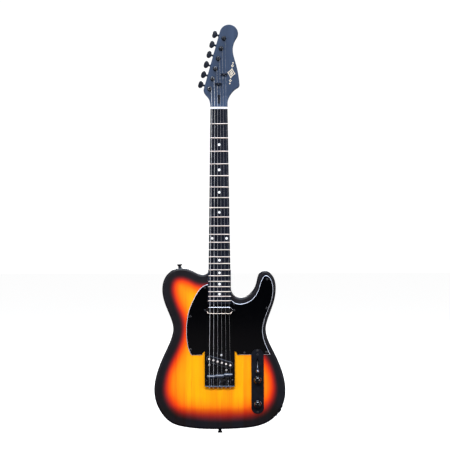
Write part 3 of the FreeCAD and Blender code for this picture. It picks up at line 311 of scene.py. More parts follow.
def rosewood():
    """Oiled dark wood with long open pores."""
    s = Shader("oiled_rosewood", Specular_IOR_Level=0.06)
    band = s.noise(70.0, 4.0, 0.55, (1, 1, 0.05), 0.8)
    pores = s.noise(900.0, 2.0, 0.6, (1, 1, 0.04))
    wood = s.ramp(band, (0.3, (0.0045, 0.0058, 0.0105, 1)), (0.55, (0.0070, 0.0088, 0.0155, 1)),
                  (0.75, (0.0120, 0.0140, 0.0225, 1)))
    s.set("Base Color", s.mix(s.span(pores, 0.58, 0.7, 0.0, 0.75), wood, (0.002, 0.002, 0.003, 1)))
    s.set("Roughness", s.span(pores, 0.4, 0.7, 0.46, 0.66))
    s.bump(pores, -0.00012, 0.5)
    return s.material


def metal(name, colour, roughness, streak=(1, 1, 1), tooth=0.00001, scale=1200.0, worn=0.06, bare=1.0):
    """Bare metal: fine lines drawn out along the axis where streak is small, and slightly uneven gloss."""
    s = Shader(name, Metallic=bare)
    tone = s.noise(90.0, 4.0, 0.6)
    darker = tuple(c * 0.82 for c in colour)
    s.set("Base Color", s.ramp(tone, (0.3, (*darker, 1)), (0.65, (*colour, 1))))
    lines = s.noise(scale * 0.3, 4.0, 0.6, streak)
    s.set("Roughness", s.span(lines, 0.3, 0.7, roughness - worn, roughness + worn))
    s.bump(s.noise(scale, 3.0, 0.6, streak), tooth, 0.35)
    return s.material


def black_plating(name, roughness, colour, tooth=0.00002, scale=1500.0, shine=0.3):
    """Black plate or oxide on steel: a dark skin with a fine tooth, rubbed a little brighter in patches."""
    s = Shader(name, Specular_IOR_Level=shine)
    rubbed = s.noise(110.0, 5.0, 0.6)
    lighter = tuple(c * 1.6 + 0.001 for c in colour)
    s.set("Base Color", s.ramp(rubbed, (0.35, (*colour, 1)), (0.78, (*lighter, 1))))
    s.set("Roughness", s.span(rubbed, 0.3, 0.7, roughness * 0.85, roughness * 1.2))
    s.bump(s.noise(scale, 3.0, 0.6), tooth, 0.3)
    return s.material


def moulded(name, colour, roughness, coat=0.0, tooth=0.000015, scale=1800.0):
    """Moulded or polished plastic with faint flow marks."""
    s = Shader(name, Coat_Weight=coat, Coat_Roughness=0.04)
    flow = s.noise(55.0, 3.0, 0.5)
    shade = tuple(c * 0.86 for c in colour)
    s.set("Base Color", s.ramp(flow, (0.3, (*shade, 1)), (0.7, (*colour, 1))))
    s.set("Roughness", s.span(s.noise(240.0, 4.0, 0.6), 0.3, 0.7, roughness * 0.8, roughness * 1.25))
    s.bump(s.noise(scale, 3.0, 0.6), tooth, 0.25)
    return s.material


def wound_wire(pitch, tone_scale):
    """Round nickel wire wound on a core: the turns follow the string's own length, with painted shade in the
    grooves between them.
    """
    pale = (0.90 * tone_scale, 0.91 * tone_scale, 0.95 * tone_scale, 1)
    middling = (0.72 * tone_scale, 0.73 * tone_scale, 0.76 * tone_scale, 1)
    s = Shader("wound_string_%d" % round(pitch * 1e6), Metallic=0.55, Roughness=0.3)
    turn = s.math("SINE", s.math("MULTIPLY", s.attribute("run"), 2 * math.pi / pitch))
    tone = s.noise(300.0, 3.0, 0.6)
    # painted shade: the grooves between the turns are painted dark, the crests pale
    crest_with_painted_light = s.ramp(s.span(turn, -1.0, 0.6), (0.0, (0.18, 0.18, 0.19, 1)), (0.6, middling), (1.0, pale))
    s.set("Base Color", s.mix(s.span(tone, 0.3, 0.7, 0.0, 0.2), crest_with_painted_light, (0.36, 0.35, 0.34, 1)))
    s.set("Roughness", s.span(tone, 0.3, 0.7, 0.24, 0.4))
    s.bump(turn, pitch * 0.3, 0.8)
    return s.material


CORD_PITCH = 0.6
BRIDGE_SCREWS_REACH = (31.0, 200.0)    # half width and height that the bridge pickup's screws lie within


def wrapped_coil():
    """Fine black cord wound round a coil, one turn above the other, with painted shade in the grooves between
    turns.
    """
    s = Shader("corded_coil", Roughness=0.8)
    turn = s.math("SINE", s.math("MULTIPLY", s.axis("Y"), 2 * math.pi / (CORD_PITCH * MM)))
    fray = s.noise(2400.0, 4.0, 0.7)
    # painted shade: darker in the grooves between the turns
    s.set("Base Color", s.mix(s.span(turn, -1.0, 1.0), (0.004, 0.004, 0.005, 1), (0.018, 0.018, 0.02, 1)))
    s.set("Roughness", s.span(fray, 0.3, 0.7, 0.7, 0.95))
    s.bump(s.math("ADD", turn, s.math("MULTIPLY", fray, 0.8)), 0.00015, 0.7)
    return s.material


def machine_screw():
    """Bright heads on the bridge pickup's height screws, and black ones elsewhere."""
    s = Shader("machine_screw", Metallic=0.3)
    half, top = (value * MM for value in BRIDGE_SCREWS_REACH)
    central = s.math("LESS_THAN", s.math("ABSOLUTE", s.axis("X")), half)
    bright = s.both(central, s.math("LESS_THAN", s.axis("Z"), top))
    tone = s.noise(200.0, 4.0, 0.6)
    steel = s.ramp(tone, (0.3, (0.70, 0.69, 0.70, 1)), (0.7, (0.86, 0.85, 0.86, 1)))
    black = s.ramp(tone, (0.3, (0.010, 0.010, 0.012, 1)), (0.7, (0.035, 0.036, 0.042, 1)))
    s.set("Base Color", s.mix(bright, black, steel))
    s.set("Roughness", s.span(tone, 0.3, 0.7, 0.24, 0.38))
    s.bump(s.noise(1600.0, 3.0, 0.6), 0.00001, 0.3)
    return s.material


def bridge_black():
    """Gloss black plate with a blue-grey painted highlight along the top of the rear lip."""
    s = Shader("black_bridge", Specular_IOR_Level=0.35)
    rubbed = s.noise(130.0, 5.0, 0.6)
    skin = s.ramp(rubbed, (0.35, (0.0020, 0.0020, 0.0030, 1)), (0.78, (0.0045, 0.0045, 0.0060, 1)))
    low = s.math("LESS_THAN", s.axis("Z"), (BRIDGE_LOW_Z + BRIDGE_SHEET + 0.3) * MM)
    # painted highlight: a blue-grey line along the top of the rear lip, broken up by the rubbed patches
    crest_with_painted_light = s.span(s.axis("Y"), BRIDGE_LIP_Y * MM, (BRIDGE_LIP_Y + 0.7) * MM, 1.0, 0.0)
    edge = s.math("MULTIPLY", s.math("MULTIPLY", low, crest_with_painted_light), s.span(rubbed, 0.25, 0.5, 0.45, 1.0))
    s.set("Base Color", s.mix(edge, skin, (0.120, 0.150, 0.215, 1)))
    s.set("Roughness", s.span(rubbed, 0.3, 0.7, 0.17, 0.26))
    s.bump(s.noise(1500.0, 3.0, 0.6), 0.00001, 0.3)
    return s.material


def pressed_fibre():
    """Black fibre board, with a blue-grey painted highlight on the edges that face sideways."""
    s = Shader("pressed_fibre", Specular_IOR_Level=0.35)
    turned = s.math("ABSOLUTE", s.add("ShaderNodeSeparateXYZ", {0: s.surface_normal}).outputs["Y"])
    # painted highlight: the edges turned away from the front are painted blue-grey
    cut = s.span(turned, 0.97, 0.85)
    fibres = s.noise(600.0, 5.0, 0.65)
    face = s.ramp(fibres, (0.3, (0.0030, 0.0032, 0.0048, 1)), (0.75, (0.0065, 0.0068, 0.0090, 1)))
    s.set("Base Color", s.mix(s.math("MULTIPLY", cut, s.span(fibres, 0.3, 0.6, 0.6, 1.0)), face,
                              (0.16, 0.18, 0.24, 1)))
    s.set("Roughness", s.span(fibres, 0.3, 0.7, 0.2, 0.34))
    s.bump(fibres, 0.00003, 0.3)
    return s.material


def decal_ink():
    """Cream ink, slightly uneven."""
    s = Shader("cream_inlay", Roughness=0.35)
    ink = s.noise(700.0, 4.0, 0.7)
    s.set("Base Color", s.ramp(ink, (0.3, srgb(222, 205, 176)), (0.7, srgb(250, 236, 208))))
    s.bump(s.noise(1500.0, 2.0), 0.00001, 0.3)
    return s.material


def make_materials():
    made = {
        "sunburst": sunburst(), "guard": guard_plastic(), "neck": stained_neck(), "rosewood": rosewood(),
        "fret": metal("nickel_silver", (0.66, 0.55, 0.48), 0.42, (1, 1, 0.2)),
        "steel": metal("bright_steel", (0.60, 0.61, 0.64), 0.3, bare=0.7),
        "lever": metal("brushed_lever", (0.80, 0.82, 0.88), 0.26, (0.1, 1, 1), bare=0.6),
        "plain_string": metal("plain_string", (0.36, 0.36, 0.37), 0.3, (1, 1, 0.02), scale=2500.0, bare=0.5),
        "magnet": metal("ground_magnet", (0.93, 0.84, 0.79), 0.5, tooth=0.00004, bare=0.2),
        "machine_screw": machine_screw(),
        "dark_steel": metal("dark_steel", (0.035, 0.035, 0.04), 0.4),
        "brass": metal("brass", (0.86, 0.72, 0.60), 0.34, bare=0.5),
        "chrome": metal("polished_chrome", (0.42, 0.43, 0.47), 0.06, tooth=0.000004, worn=0.02),
        "inlay": moulded("white_inlay", (0.95, 0.96, 0.98), 0.3),
        "nut": moulded("polished_bone", (0.80, 0.79, 0.82), 0.28),
        "plate": black_plating("black_plate", 0.42, (0.0018, 0.0024, 0.0055), shine=0.16),
        "bridge": bridge_black(),
        "tuner": black_plating("black_tuner", 0.30, (0.0022, 0.0042, 0.0095), shine=0.13),
        "saddle": black_plating("black_barrel", 0.3, (0.013, 0.021, 0.044), 0.00001, shine=1.0),
        "screw": black_plating("black_screw", 0.3, (0.006, 0.006, 0.008), shine=0.4),
        "knob": moulded("gloss_knob", (0.0022, 0.0023, 0.0032), 0.2, 0.55),
        "tip": metal("black_nickel", (0.30, 0.34, 0.42), 0.28),
        "spring": metal("spring_wire", (0.16, 0.17, 0.20), 0.28),
        "bobbin": pressed_fibre(),
        "wire": moulded("wire_jacket", (0.012, 0.012, 0.012), 0.55, tooth=0.00005, scale=4000.0),
        "film": moulded("dipped_film", (0.42, 0.17, 0.03), 0.2, 0.4),
        "coil": wrapped_coil(), "cream": decal_ink(),
    }
    for i in range(WOUND_STRINGS):
        made["wound_%d" % i] = wound_wire(STRING_RADII[i] * 0.62 * MM, 1.0 - 0.2 * i)
    return made


CAD_LOOKS = {
    "guard": ["pickguard"], "neck": ["neck"], "rosewood": ["fretboard"], "fret": ["frets"],
    "inlay": ["position_dots"], "nut": ["nut"], "bridge": ["bridge_plate"],
    "plate": ["control_plate", "neck_plate", "jack_plate", "strap_buttons", "panel_nuts"],
    "tuner": ["string_trees", "tuner_housings", "tuner_bushings"],
    "saddle": SADDLES,
    "screw": ["small_wood_screws", "neck_screws", "strap_button_screws", "bridge_screws",
              "intonation_screw_bass", "intonation_screw_middle", "intonation_screw_treble"],
    "machine_screw": ["machine_screws"], "dark_steel": ["truss_rod", "truss_rod_nut"],
    "steel": ["switch_frame", "potentiometers", "volume_shaft", "tone_shaft", "output_jack"],
    "lever": ["switch_lever"], "magnet": ["bridge_pickup_magnets"], "chrome": ["neck_pickup_cover"],
    "bobbin": ["bridge_pickup_bobbin", "neck_pickup_coil"], "coil": ["bridge_pickup_coil"],
    "wire": ["wiring"], "film": ["capacitor"],
}

# node to the width of the rounding on its edges, in millimetres
SOFTENED_EDGES = {"bridge_plate": 0.6, "control_plate": 0.4, "neck_plate": 0.5, "jack_plate": 0.4,
                  "bridge_pickup_bobbin": 0.6, "nut": 0.3, "string_trees": 0.25, "switch_frame": 0.2,
                  "tuner_housings": 0.3}


def dress_cad_nodes(looks):
    for look, names in CAD_LOOKS.items():
        for name in names:
            for holder in NODES[name].material_slots:
                holder.material = looks[look]
    for name, width in SOFTENED_EDGES.items():
        bevel = NODES[name].modifiers.new("softened", "BEVEL")
        bevel.width = width * MM
        bevel.segments = 2
        bevel.limit_method = "ANGLE"
        bevel.angle_limit = math.radians(50)
        bevel.use_clamp_overlap = True


# ---- mesh tools ----
def piece(name, shape, look, sharp=40.0):
    """Turns a bmesh into a smooth-shaded piece with one material."""
    bmesh.ops.recalc_face_normals(shape, faces=shape.faces[:])
    mesh = bpy.data.meshes.new(name)
    shape.to_mesh(mesh)
    shape.free()
    mesh.materials.append(look)
    mesh.shade_smooth()
    mesh.set_sharp_from_angle(angle=math.radians(sharp))
    made = bpy.data.objects.new(name, mesh)
    bpy.context.scene.collection.objects.link(made)
    return made


def bridge_rings(shape, rings):
    """Faces between rings of vertices; a ring of one vertex closes an end to a point."""
    for ring, after in zip(rings, rings[1:]):
        count = max(len(ring), len(after))
        for k in range(count):
            corners = [ring[k % len(ring)], ring[(k + 1) % len(ring)],
                       after[(k + 1) % len(after)], after[k % len(after)]]
            shape.faces.new(list(dict.fromkeys(corners)))


def facing(point, direction):
    """A matrix whose local Z points along direction at point, which is in millimetres."""
    turn = Vector(direction).to_track_quat("Z", "Y").to_matrix().to_4x4()
    return Matrix.Translation(Vector(point) * MM) @ turn


def lathe(profile, segments, place, ripple=None):
    """Turns (radius, along) points, in millimetres, about place's Z. ripple(row, column) scales a radius."""
    shape = bmesh.new()
    rings = []
    for row, (radius, along) in enumerate(profile):
        if radius < 1e-6:
            rings.append([shape.verts.new(place @ Vector((0, 0, along * MM)))])
            continue
        ring = []
        for k in range(segments):
            angle = 2 * math.pi * k / segments
            r = radius * MM * (ripple(row, k) if ripple else 1.0)
            point = Vector((r * math.cos(angle), r * math.sin(angle), along * MM))
            ring.append(shape.verts.new(place @ point))
        rings.append(ring)
    bridge_rings(shape, rings)
    return shape


def tube(path, radius, sides=12):
    """A round closed tube along points in millimetres; each vertex keeps its run along the path."""
    points = [Vector(p) * MM for p in path]
    shape = bmesh.new()
    run_layer = shape.verts.layers.float.new("run")
    side = Vector((1, 0, 0))
    rings = []
    run = 0.0
    for k, point in enumerate(points):
        ahead = points[min(k + 1, len(points) - 1)]
        behind = points[max(k - 1, 0)]
        along = (ahead - behind).normalized()
        side = (side - along * side.dot(along)).normalized()
        up = along.cross(side)
        run += (point - points[k - 1]).length if k else 0.0
        ring = []
        for j in range(sides):
            angle = 2 * math.pi * j / sides
            vertex = shape.verts.new(point + (side * math.cos(angle) + up * math.sin(angle)) * radius * MM)
            vertex[run_layer] = run
            ring.append(vertex)
        rings.append(ring)
    bridge_rings(shape, rings)
    shape.faces.new(rings[0])
    shape.faces.new(rings[-1])
    return shape


# ---- body ----
OUTLINE_CUT_Y = 16.0           # a level where only the outline and the neck screws' holes are cut
LONG_EDGE = 8.0                # edges of the outline under the neck are longer, those of a hole shorter
SLICE = 5.0                    # largest cell of the body's faces


def outline_segments(body):
    """The outline's edges as pairs of (x, z) points: all of them, and all but those under the neck."""
    cut = bmesh.new()
    cut.from_mesh(body.data)
    whole = cut.verts[:] + cut.edges[:] + cut.faces[:]
    found = bmesh.ops.bisect_plane(cut, geom=whole, plane_co=(0, OUTLINE_CUT_Y * MM, 0), plane_no=(0, 1, 0))
    half, low, high = (value * MM for value in NECK_JOINT)
    every = []
    shown = []
    for edge in found["geom_cut"]:
        if not isinstance(edge, bmesh.types.BMEdge):
            continue
        a, b = (vertex.co for vertex in edge.verts)
        middle = (a + b) / 2
        segment = ((a.x, a.z), (b.x, b.z))
        under_neck = abs(middle.x) < half and low < middle.z < high
        if not under_neck:
            shown.append(segment)
        if not under_neck or edge.calc_length() > LONG_EDGE * MM:
            every.append(segment)
    cut.free()
    return np.array(every), np.array(shown)


def distance_to(segments, points):
    """Each point's distance from the nearest of the segments."""
    nearest = np.full(len(points), np.inf)
    for start, end in segments:
        run = end - start
        share = np.clip(((points - start) @ run) / max(run @ run, 1e-12), 0, 1)
        nearest = np.minimum(nearest, np.linalg.norm(points - start - share[:, None] * run, axis=1))
    return nearest


def slice_flat_faces(shape, low, high):
    """Cuts the flat front and back into small cells, so that colour can follow the rim across them."""
    flat = [face for face in shape.faces if abs(face.normal.y) > 0.9999]
    parts = set(flat)
    for face in flat:
        parts.update(face.edges)
        parts.update(face.verts)
    parts = list(parts)
    for normal, start, stop in (((1, 0, 0), low.x, high.x), ((0, 0, 1), low.z, high.z)):
        for place in np.arange(start + SLICE * MM / 2, stop, SLICE * MM):
            point = Vector(normal) * float(place)
            parts = bmesh.ops.bisect_plane(shape, geom=parts, plane_co=point, plane_no=normal)["geom"]


def make_body(looks):
    """The routed body with a denser skin, coloured by its distance from the rim."""
    cad = NODES["body"]
    shape = bmesh.new()
    shape.from_mesh(cad.data)
    shape.normal_update()
    slice_flat_faces(shape, *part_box("body"))
    made = piece("body_shell", shape, looks["sunburst"], 32.0)
    every, shown = outline_segments(cad)
    places = np.array([(v.co.x, v.co.z) for v in made.data.vertices])
    behind = np.array([v.co.y > 0 for v in made.data.vertices])
    depth = np.where(behind, distance_to(every, places), distance_to(shown, places))
    layer = made.data.attributes.new("rim_distance", "FLOAT", "POINT")
    layer.data.foreach_set("value", depth.astype(np.float32))
    weighted = made.modifiers.new("even_normals", "WEIGHTED_NORMAL")
    weighted.keep_sharp = True
    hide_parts("body")
    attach(made, "root")


# ---- strings ----
def string_x(i, spacing):
    return (i - 2.5) * spacing


def tangent_angle(centre, radius, point, side):
    """The angle on a circle, in the (z, height) plane, where a line from point touches it."""
    dz = point[0] - centre[0]
    dh = point[1] - centre[1]
    return math.atan2(dh, dz) + side * math.acos(radius / math.hypot(dz, dh))


def post_centre(number):
    x, y, z = JOINTS["tuner_%d_post" % number]["pos_m"]
    return Vector((x, y, z)) / MM


def nut_string_y(i):
    x = string_x(i, NUT_SPACING)
    return STRING_Y_AT_NUT - STRING_RADII[i] + x * x / (2 * BOARD_RADIUS)


def eased_corner(before, corner, after, reach, steps=6):
    """Points of a smooth bend through a corner."""
    a = corner + (before - corner).normalized() * min(reach, (before - corner).length * 0.45)
    b = corner + (after - corner).normalized() * min(reach, (after - corner).length * 0.45)
    points = []
    for k in range(steps + 1):
        t = k / steps
        points.append(a * (1 - t) ** 2 + corner * 2 * t * (1 - t) + b * t * t)
    return points


def subdivided(points, longest):
    """The same path with no run longer than this."""
    filled = [points[0]]
    for a, b in zip(points, points[1:]):
        count = max(1, math.ceil((b - a).length / longest))
        filled += [a.lerp(b, (k + 1) / count) for k in range(count)]
    return filled


def saddle_wrap(i):
    """Points where a string lies on its saddle, from where it meets it at the rear to where it leaves it."""
    r = STRING_RADII[i]
    low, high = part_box(SADDLES[i // 2])
    x = string_x(i, BRIDGE_SPACING)
    centre = ((low.z + high.z) / 2 / MM, -low.y / MM - BARREL_RADIUS)
    radius = BARREL_RADIUS + r + 0.01
    hole = (BRIDGE_LOW_Z + BRIDGE_SHEET, -STRING_HOLE_Y)
    nut = (NUT_Z, -nut_string_y(i))
    rear = tangent_angle(centre, radius, hole, -1)
    front = tangent_angle(centre, radius, nut, 1)
    if rear < front:
        rear += 2 * math.pi
    points = []
    for k in range(9):
        angle = rear + (front - rear) * k / 8
        height = centre[1] + radius * math.sin(angle)
        points.append(Vector((x, -height, centre[0] + radius * math.cos(angle))))
    return points


def tail_path(i, wrap):
    """From the ball end through its hole in the bridge's rear lip and up to the saddle."""
    x = string_x(i, BRIDGE_SPACING)
    ball = Vector((x, STRING_HOLE_Y, BRIDGE_LOW_Z - 1.4))
    hole = Vector((x, STRING_HOLE_Y, BRIDGE_LOW_Z + BRIDGE_SHEET + 0.2))
    return subdivided([ball] + eased_corner(ball, hole, wrap[0], 1.2) + [wrap[0]], 1.5)


def speaking_path(i, wrap):
    """From the saddle over the nut, under a tree if it has one, to the side of its post."""
    nut_x = string_x(i, NUT_SPACING)
    near = Vector((nut_x, nut_string_y(i), NUT_Z))
    far = near + Vector((0, 0, NUT_LENGTH + 0.2))
    post = post_centre(6 - i)
    end = Vector((post.x + POST_RADIUS + STRING_RADII[i] + TURN_GAP, FIRST_TURN_Y, post.z))
    route = [near, far]
    if i in TREES:
        share = (TREES[i] - NUT_Z) / (end.z - NUT_Z)
        route.append(Vector((nut_x + (end.x - nut_x) * share, STRING_Y_AT_TREE, TREES[i])))
    points = list(wrap)
    ends = [wrap[-1]] + route + [end]
    for before, corner, after in zip(ends, ends[1:], ends[2:]):
        points += eased_corner(before, corner, after, 2.0)
    return subdivided(points + [end], 12.0)


def make_string(i, looks):
    """Two pieces, behind the saddle and from it to the post."""
    number = 6 - i
    look = looks["wound_%d" % i] if i < WOUND_STRINGS else looks["plain_string"]
    wrap = saddle_wrap(i)
    tail = piece("string_%d_tail" % number, tube(tail_path(i, wrap), STRING_RADII[i]), look)
    run = piece("string_%d" % number, tube(speaking_path(i, wrap), STRING_RADII[i]), look)
    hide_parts("strings")
    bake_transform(tail)
    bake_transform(run)


def make_ball_end(i, looks):
    """The grooved brass ferrule that a string is looped through."""
    profile = [(0.6, -1.6), (1.6, -1.6), (1.9, -1.3), (1.9, -0.8), (1.45, -0.35), (1.45, 0.35), (1.9, 0.8),
               (1.9, 1.3), (1.6, 1.6), (0.6, 1.6), (0.6, -1.6)]
    place = facing((string_x(i, BRIDGE_SPACING), STRING_HOLE_Y, BRIDGE_LOW_Z - 2.9), (1, 0, 0))
    made = piece("ball_end_%d" % (6 - i), lathe(profile, 32, place), looks["brass"])
    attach(made, "root")


def make_winding(i, looks):
    """The turns on a tuner's post, which end in the hole through it."""
    number = 6 - i
    r = STRING_RADII[i]
    post = post_centre(number)
    reach = POST_RADIUS + r + TURN_GAP
    turns = 3
    steps = 28
    climb = POST_HOLE_Y + r - FIRST_TURN_Y
    path = []
    for k in range(steps * (turns + 1) + 1):
        angle = 2 * math.pi * k / steps
        share = max(0.0, k - steps) / (steps * turns)
        path.append(Vector((post.x + reach * math.cos(angle), FIRST_TURN_Y + climb * share,
                            post.z + reach * math.sin(angle))))
    path.append(Vector((post.x + reach * 0.6, POST_HOLE_Y, post.z + reach * 0.75)))
    path.append(Vector((post.x, POST_HOLE_Y, post.z + 1.0)))
    look = looks["wound_%d" % i] if i < WOUND_STRINGS else looks["plain_string"]
    made = piece("string_%d_winding" % number, tube(path, r, 10), look)
    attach(made, "tuner_post_%d" % number)


# ---- springs ----
SPRING_RADIUS = 2.2            # to the middle of the wire


def spring(name, start, end, wire, turns, look):
    """A coil spring with flat ends between two points; wire is its wire's radius."""
    a = Vector(start)
    axis = Vector(end) - a
    turn = axis.to_track_quat("Z", "Y")
    steps = 20
    total = int(turns * steps)
    path = []
    for k in range(total + 1):
        angle = 2 * math.pi * k / steps
        share = min(1.0, max(0.0, (k - steps * 0.8) / (total - steps * 1.6)))
        along = wire + (axis.length - 2 * wire) * share
        round_axis = Vector((math.cos(angle), math.sin(angle), 0)) * SPRING_RADIUS
        path.append(a + turn @ (round_axis + Vector((0, 0, along))))
    return piece(name, tube(path, wire, 8), look)


def make_intonation_springs(looks):
    for side, saddle in zip(("bass", "middle", "treble"), SADDLES):
        x, y, z = (value / MM for value in JOINTS["intonation_screw_%s_turn" % side]["pos_m"])
        rear = BRIDGE_LOW_Z + BRIDGE_SHEET
        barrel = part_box(saddle)[0].z / MM
        made = spring("intonation_spring_" + side, (x, y, rear), (x, y, barrel), wire=0.38, turns=9,
                      look=looks["spring"])
        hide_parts("intonation_springs")
        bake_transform(made)


# each height screw: its pickup's body, x and z
HEIGHT_SCREWS = [("bridge_pickup", 4.1, 180.6), ("bridge_pickup", -25.5, 157.2),
                 ("bridge_pickup", 16.0, 144.9), ("neck_pickup", -35.5, 289.9), ("neck_pickup", 35.5, 289.9)]


def make_pickup_springs(looks):
    """The springs that hold the pickups down, round their height screws."""
    top = FACE_Y + 0.4
    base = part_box("bridge_pickup_coil")[1].y / MM
    for k, (body, x, z) in enumerate(HEIGHT_SCREWS):
        made = spring("pickup_spring_%d" % (k + 1), (x, top, z), (x, base, z), wire=0.35, turns=5,
                      look=looks["steel"])
        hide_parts("pickup_springs")
        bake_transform(made)


# ---- controls ----
# (radius, height over the body's face): the dome, the knurled side, the skirt, and the bore for the shaft
KNOB_PROFILE = [(0, 18.6), (1.6, 18.56), (3.2, 18.35), (4.8, 17.9), (6.2, 17.15), (7.35, 16.1), (8.15, 14.8),
                (8.6, 13.4), (8.8, 12.0), (8.9, 11.2), (9.15, 11.0), (9.2, 10.6), (9.25, 5.4), (9.2, 4.9),
                (9.0, 4.7), (9.0, 4.4), (9.45, 4.2), (9.5, 3.8), (9.5, 2.6), (9.2, 2.3), (8.4, 2.3),
                (8.4, 7.0), (3.05, 7.0), (3.05, 15.0), (0, 15.0)]
KNURLED_ROWS = (11, 12)


def knurl(row, column):
    """Shallow V-shaped grooves round a knob's side, one for every four steps."""
    if row not in KNURLED_ROWS:
        return 1.0
    return (1.0, 0.991, 0.976, 0.991)[column % 4]


def make_knobs(looks):
    """Domed knobs with a knurled side. The lights need them, so they are handed back."""
    knobs = []
    for name in ("volume", "tone"):
        x, y, z = (value / MM for value in JOINTS[name + "_turn"]["pos_m"])
        shape = lathe(KNOB_PROFILE, 240, facing((x, FACE_Y, z), (0, -1, 0)), knurl)
        made = piece("%s_knob_shell" % name, shape, looks["knob"])
        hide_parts(name + "_knob")
        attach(made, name)
        knobs.append(made)
    return knobs


# (radius, distance from the lever's pivot)
TIP_PROFILE = [(0, 40.9), (2.2, 40.8), (3.0, 40.5), (3.6, 39.9), (3.9, 39.0), (4.0, 37.8), (4.0, 35.4),
               (3.85, 32.6), (3.55, 29.8), (3.3, 27.4), (3.2, 26.0), (2.9, 25.5), (2.2, 25.3), (0, 25.3)]
LEVER_TILT = math.radians(30)


def make_switch_tip(looks):
    """The barrel-shaped cap on the selector's lever."""
    pivot = Vector(JOINTS["selector_swing"]["pos_m"]) / MM
    direction = (0, -math.cos(LEVER_TILT), -math.sin(LEVER_TILT))
    made = piece("switch_tip_shell", lathe(TIP_PROFILE, 64, facing(pivot, direction)), looks["tip"])
    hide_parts("switch_tip")
    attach(made, "selector")


# ---- tuners ----
# half of a button's outline, as (outward, along the row), and its layers, as (depth, share of the outline)
BUTTON_OUTLINE = [(17.3, 2.2), (18.4, 3.0), (19.6, 5.2), (21.4, 7.9), (24.0, 9.3), (27.0, 9.0), (29.4, 7.2),
                  (30.6, 4.2), (30.8, 0.0)]
BUTTON_LAYERS = [(-4.0, 0.70), (-3.85, 0.82), (-3.3, 0.93), (-2.2, 0.985), (0.0, 1.0), (2.2, 0.985),
                 (3.3, 0.93), (3.85, 0.82), (4.0, 0.70)]
BUTTON_CENTRE = 24.4
BUTTON_CROWN = 4.08            # half thickness at the middle
WORM_TURNS = 14
WORM_PITCH = 0.95


def tuner_frame(number):
    """A matrix for one tuner: X outward along its key, Y to the back, Z along the row, at its key's axis."""
    outward = Vector(JOINTS["tuner_%d_key" % number]["axis"]).normalized()
    back = Vector((0, 1, 0))
    along = outward.cross(back)
    if along.z < 0:
        along.negate()
    turn = Matrix((outward, back, along)).transposed().to_4x4()
    post = post_centre(number)
    place = Vector(JOINTS["tuner_%d_key" % number]["pos_m"])
    start = place - outward * (place - post * MM).dot(outward)
    return Matrix.Translation(start) @ turn


def button_shape(place):
    """A pillow-shaped tuner button with a narrow neck towards the shaft."""
    ring = BUTTON_OUTLINE + [(x, -z) for x, z in reversed(BUTTON_OUTLINE[:-1])]
    shape = bmesh.new()
    rings = []
    for y, share in BUTTON_LAYERS:
        layer = []
        for x, z in ring:
            point = Vector((BUTTON_CENTRE + (x - BUTTON_CENTRE) * share, y, z * share)) * MM
            layer.append(shape.verts.new(place @ point))
        rings.append(layer)
    bridge_rings(shape, rings)
    for layer, crown in ((rings[0], -BUTTON_CROWN), (rings[-1], BUTTON_CROWN)):
        middle = shape.verts.new(place @ (Vector((BUTTON_CENTRE, crown, 0)) * MM))
        for k in range(len(layer)):
            shape.faces.new([layer[k], layer[(k + 1) % len(layer)], middle])
    return shape


def shaft_profile():
    """(radius, outward) points of a key's shaft: the worm, the bearing and the collar at the button."""
    profile = [(0, -5.5), (1.9, -5.5), (2.1, -5.2)]
    for k in range(WORM_TURNS):
        start = -4.6 + k * WORM_PITCH
        profile += [(2.1, start), (1.5, start + 0.35), (2.1, start + 0.7)]
    return profile + [(2.1, 8.9), (1.7, 9.2), (1.7, 15.2), (2.3, 15.5), (2.5, 16.2), (2.3, 16.9), (1.9, 17.6),
                      (1.7, 18.6), (0, 18.6)]


def make_key(number, looks):
    """A button and its worm shaft."""
    place = tuner_frame(number)
    button = piece("tuner_button_%d" % number, button_shape(place), looks["tuner"], 60)
    smooth = button.modifiers.new("rounded", "SUBSURF")
    smooth.levels = 2
    smooth.render_levels = 2
    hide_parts("tuner_key_%d" % number)
    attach(button, "tuner_key_%d" % number)
    start = place.translation / MM
    outward = place.to_3x3() @ Vector((1, 0, 0))
    shaft = piece("tuner_shaft_%d" % number, lathe(shaft_profile(), 40, facing(start, outward)),
                  looks["tuner"])
    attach(shaft, "tuner_key_%d" % number)


# (radius, y) of a post from its dished top to its foot, and of the wheel under it
POST_PROFILE = [(0, -30.7), (0.9, -30.8), (1.15, -31.2), (1.3, -31.5), (1.7, -31.6), (2.2, -31.55),
                (2.7, -31.3), (2.95, -30.9), (3.0, -30.4), (3.0, -29.5), (2.9, -29.1), (2.65, -28.4),
                (2.6, -27.8), (2.7, -27.0), (2.95, -26.3), (3.0, -25.9), (3.0, -4.0), (2.0, -4.0),
                (2.0, -2.5)]
WHEEL_PROFILE = [(3.2, -2.5), (3.2, 0.5), (1.7, 0.5), (1.7, 1.1), (1.2, 1.4), (0, 1.4)]
WHEEL_TEETH = 15
STEPS_PER_TOOTH = 8


def make_post(number, looks):
    """The post with its dished top, and the notched gear on its lower end."""
    wheel_rows = (len(POST_PROFILE), len(POST_PROFILE) + 1)

    def notch(row, column):
        return 0.89 if row in wheel_rows and column % STEPS_PER_TOOTH < 2 else 1.0

    x, _, z = post_centre(number)
    place = facing((x, 0, z), (0, 1, 0))
    shape = lathe(POST_PROFILE + WHEEL_PROFILE, WHEEL_TEETH * STEPS_PER_TOOTH, place, notch)
    made = piece("tuner_post_shell_%d" % number, shape, looks["tuner"])
    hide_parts("tuner_post_%d" % number)
    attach(made, "tuner_post_%d" % number)


# ---- headstock ornament ----
ORNAMENT_CENTRE = (30.4, 867.0)
ORNAMENT_TILT = math.radians(9)
# each lozenge: place along the column, half length, half width, width of its outline (0 for a solid one)
LOZENGES = [(-25.5, 2.2, 1.6, 0), (-18.2, 4.2, 3.4, 1.3), (0.0, 12.5, 9.6, 1.7), (0.0, 6.6, 4.6, 1.4),
            (0.0, 2.0, 1.4, 0), (18.2, 4.2, 3.4, 1.3), (25.5, 2.2, 1.6, 0)]


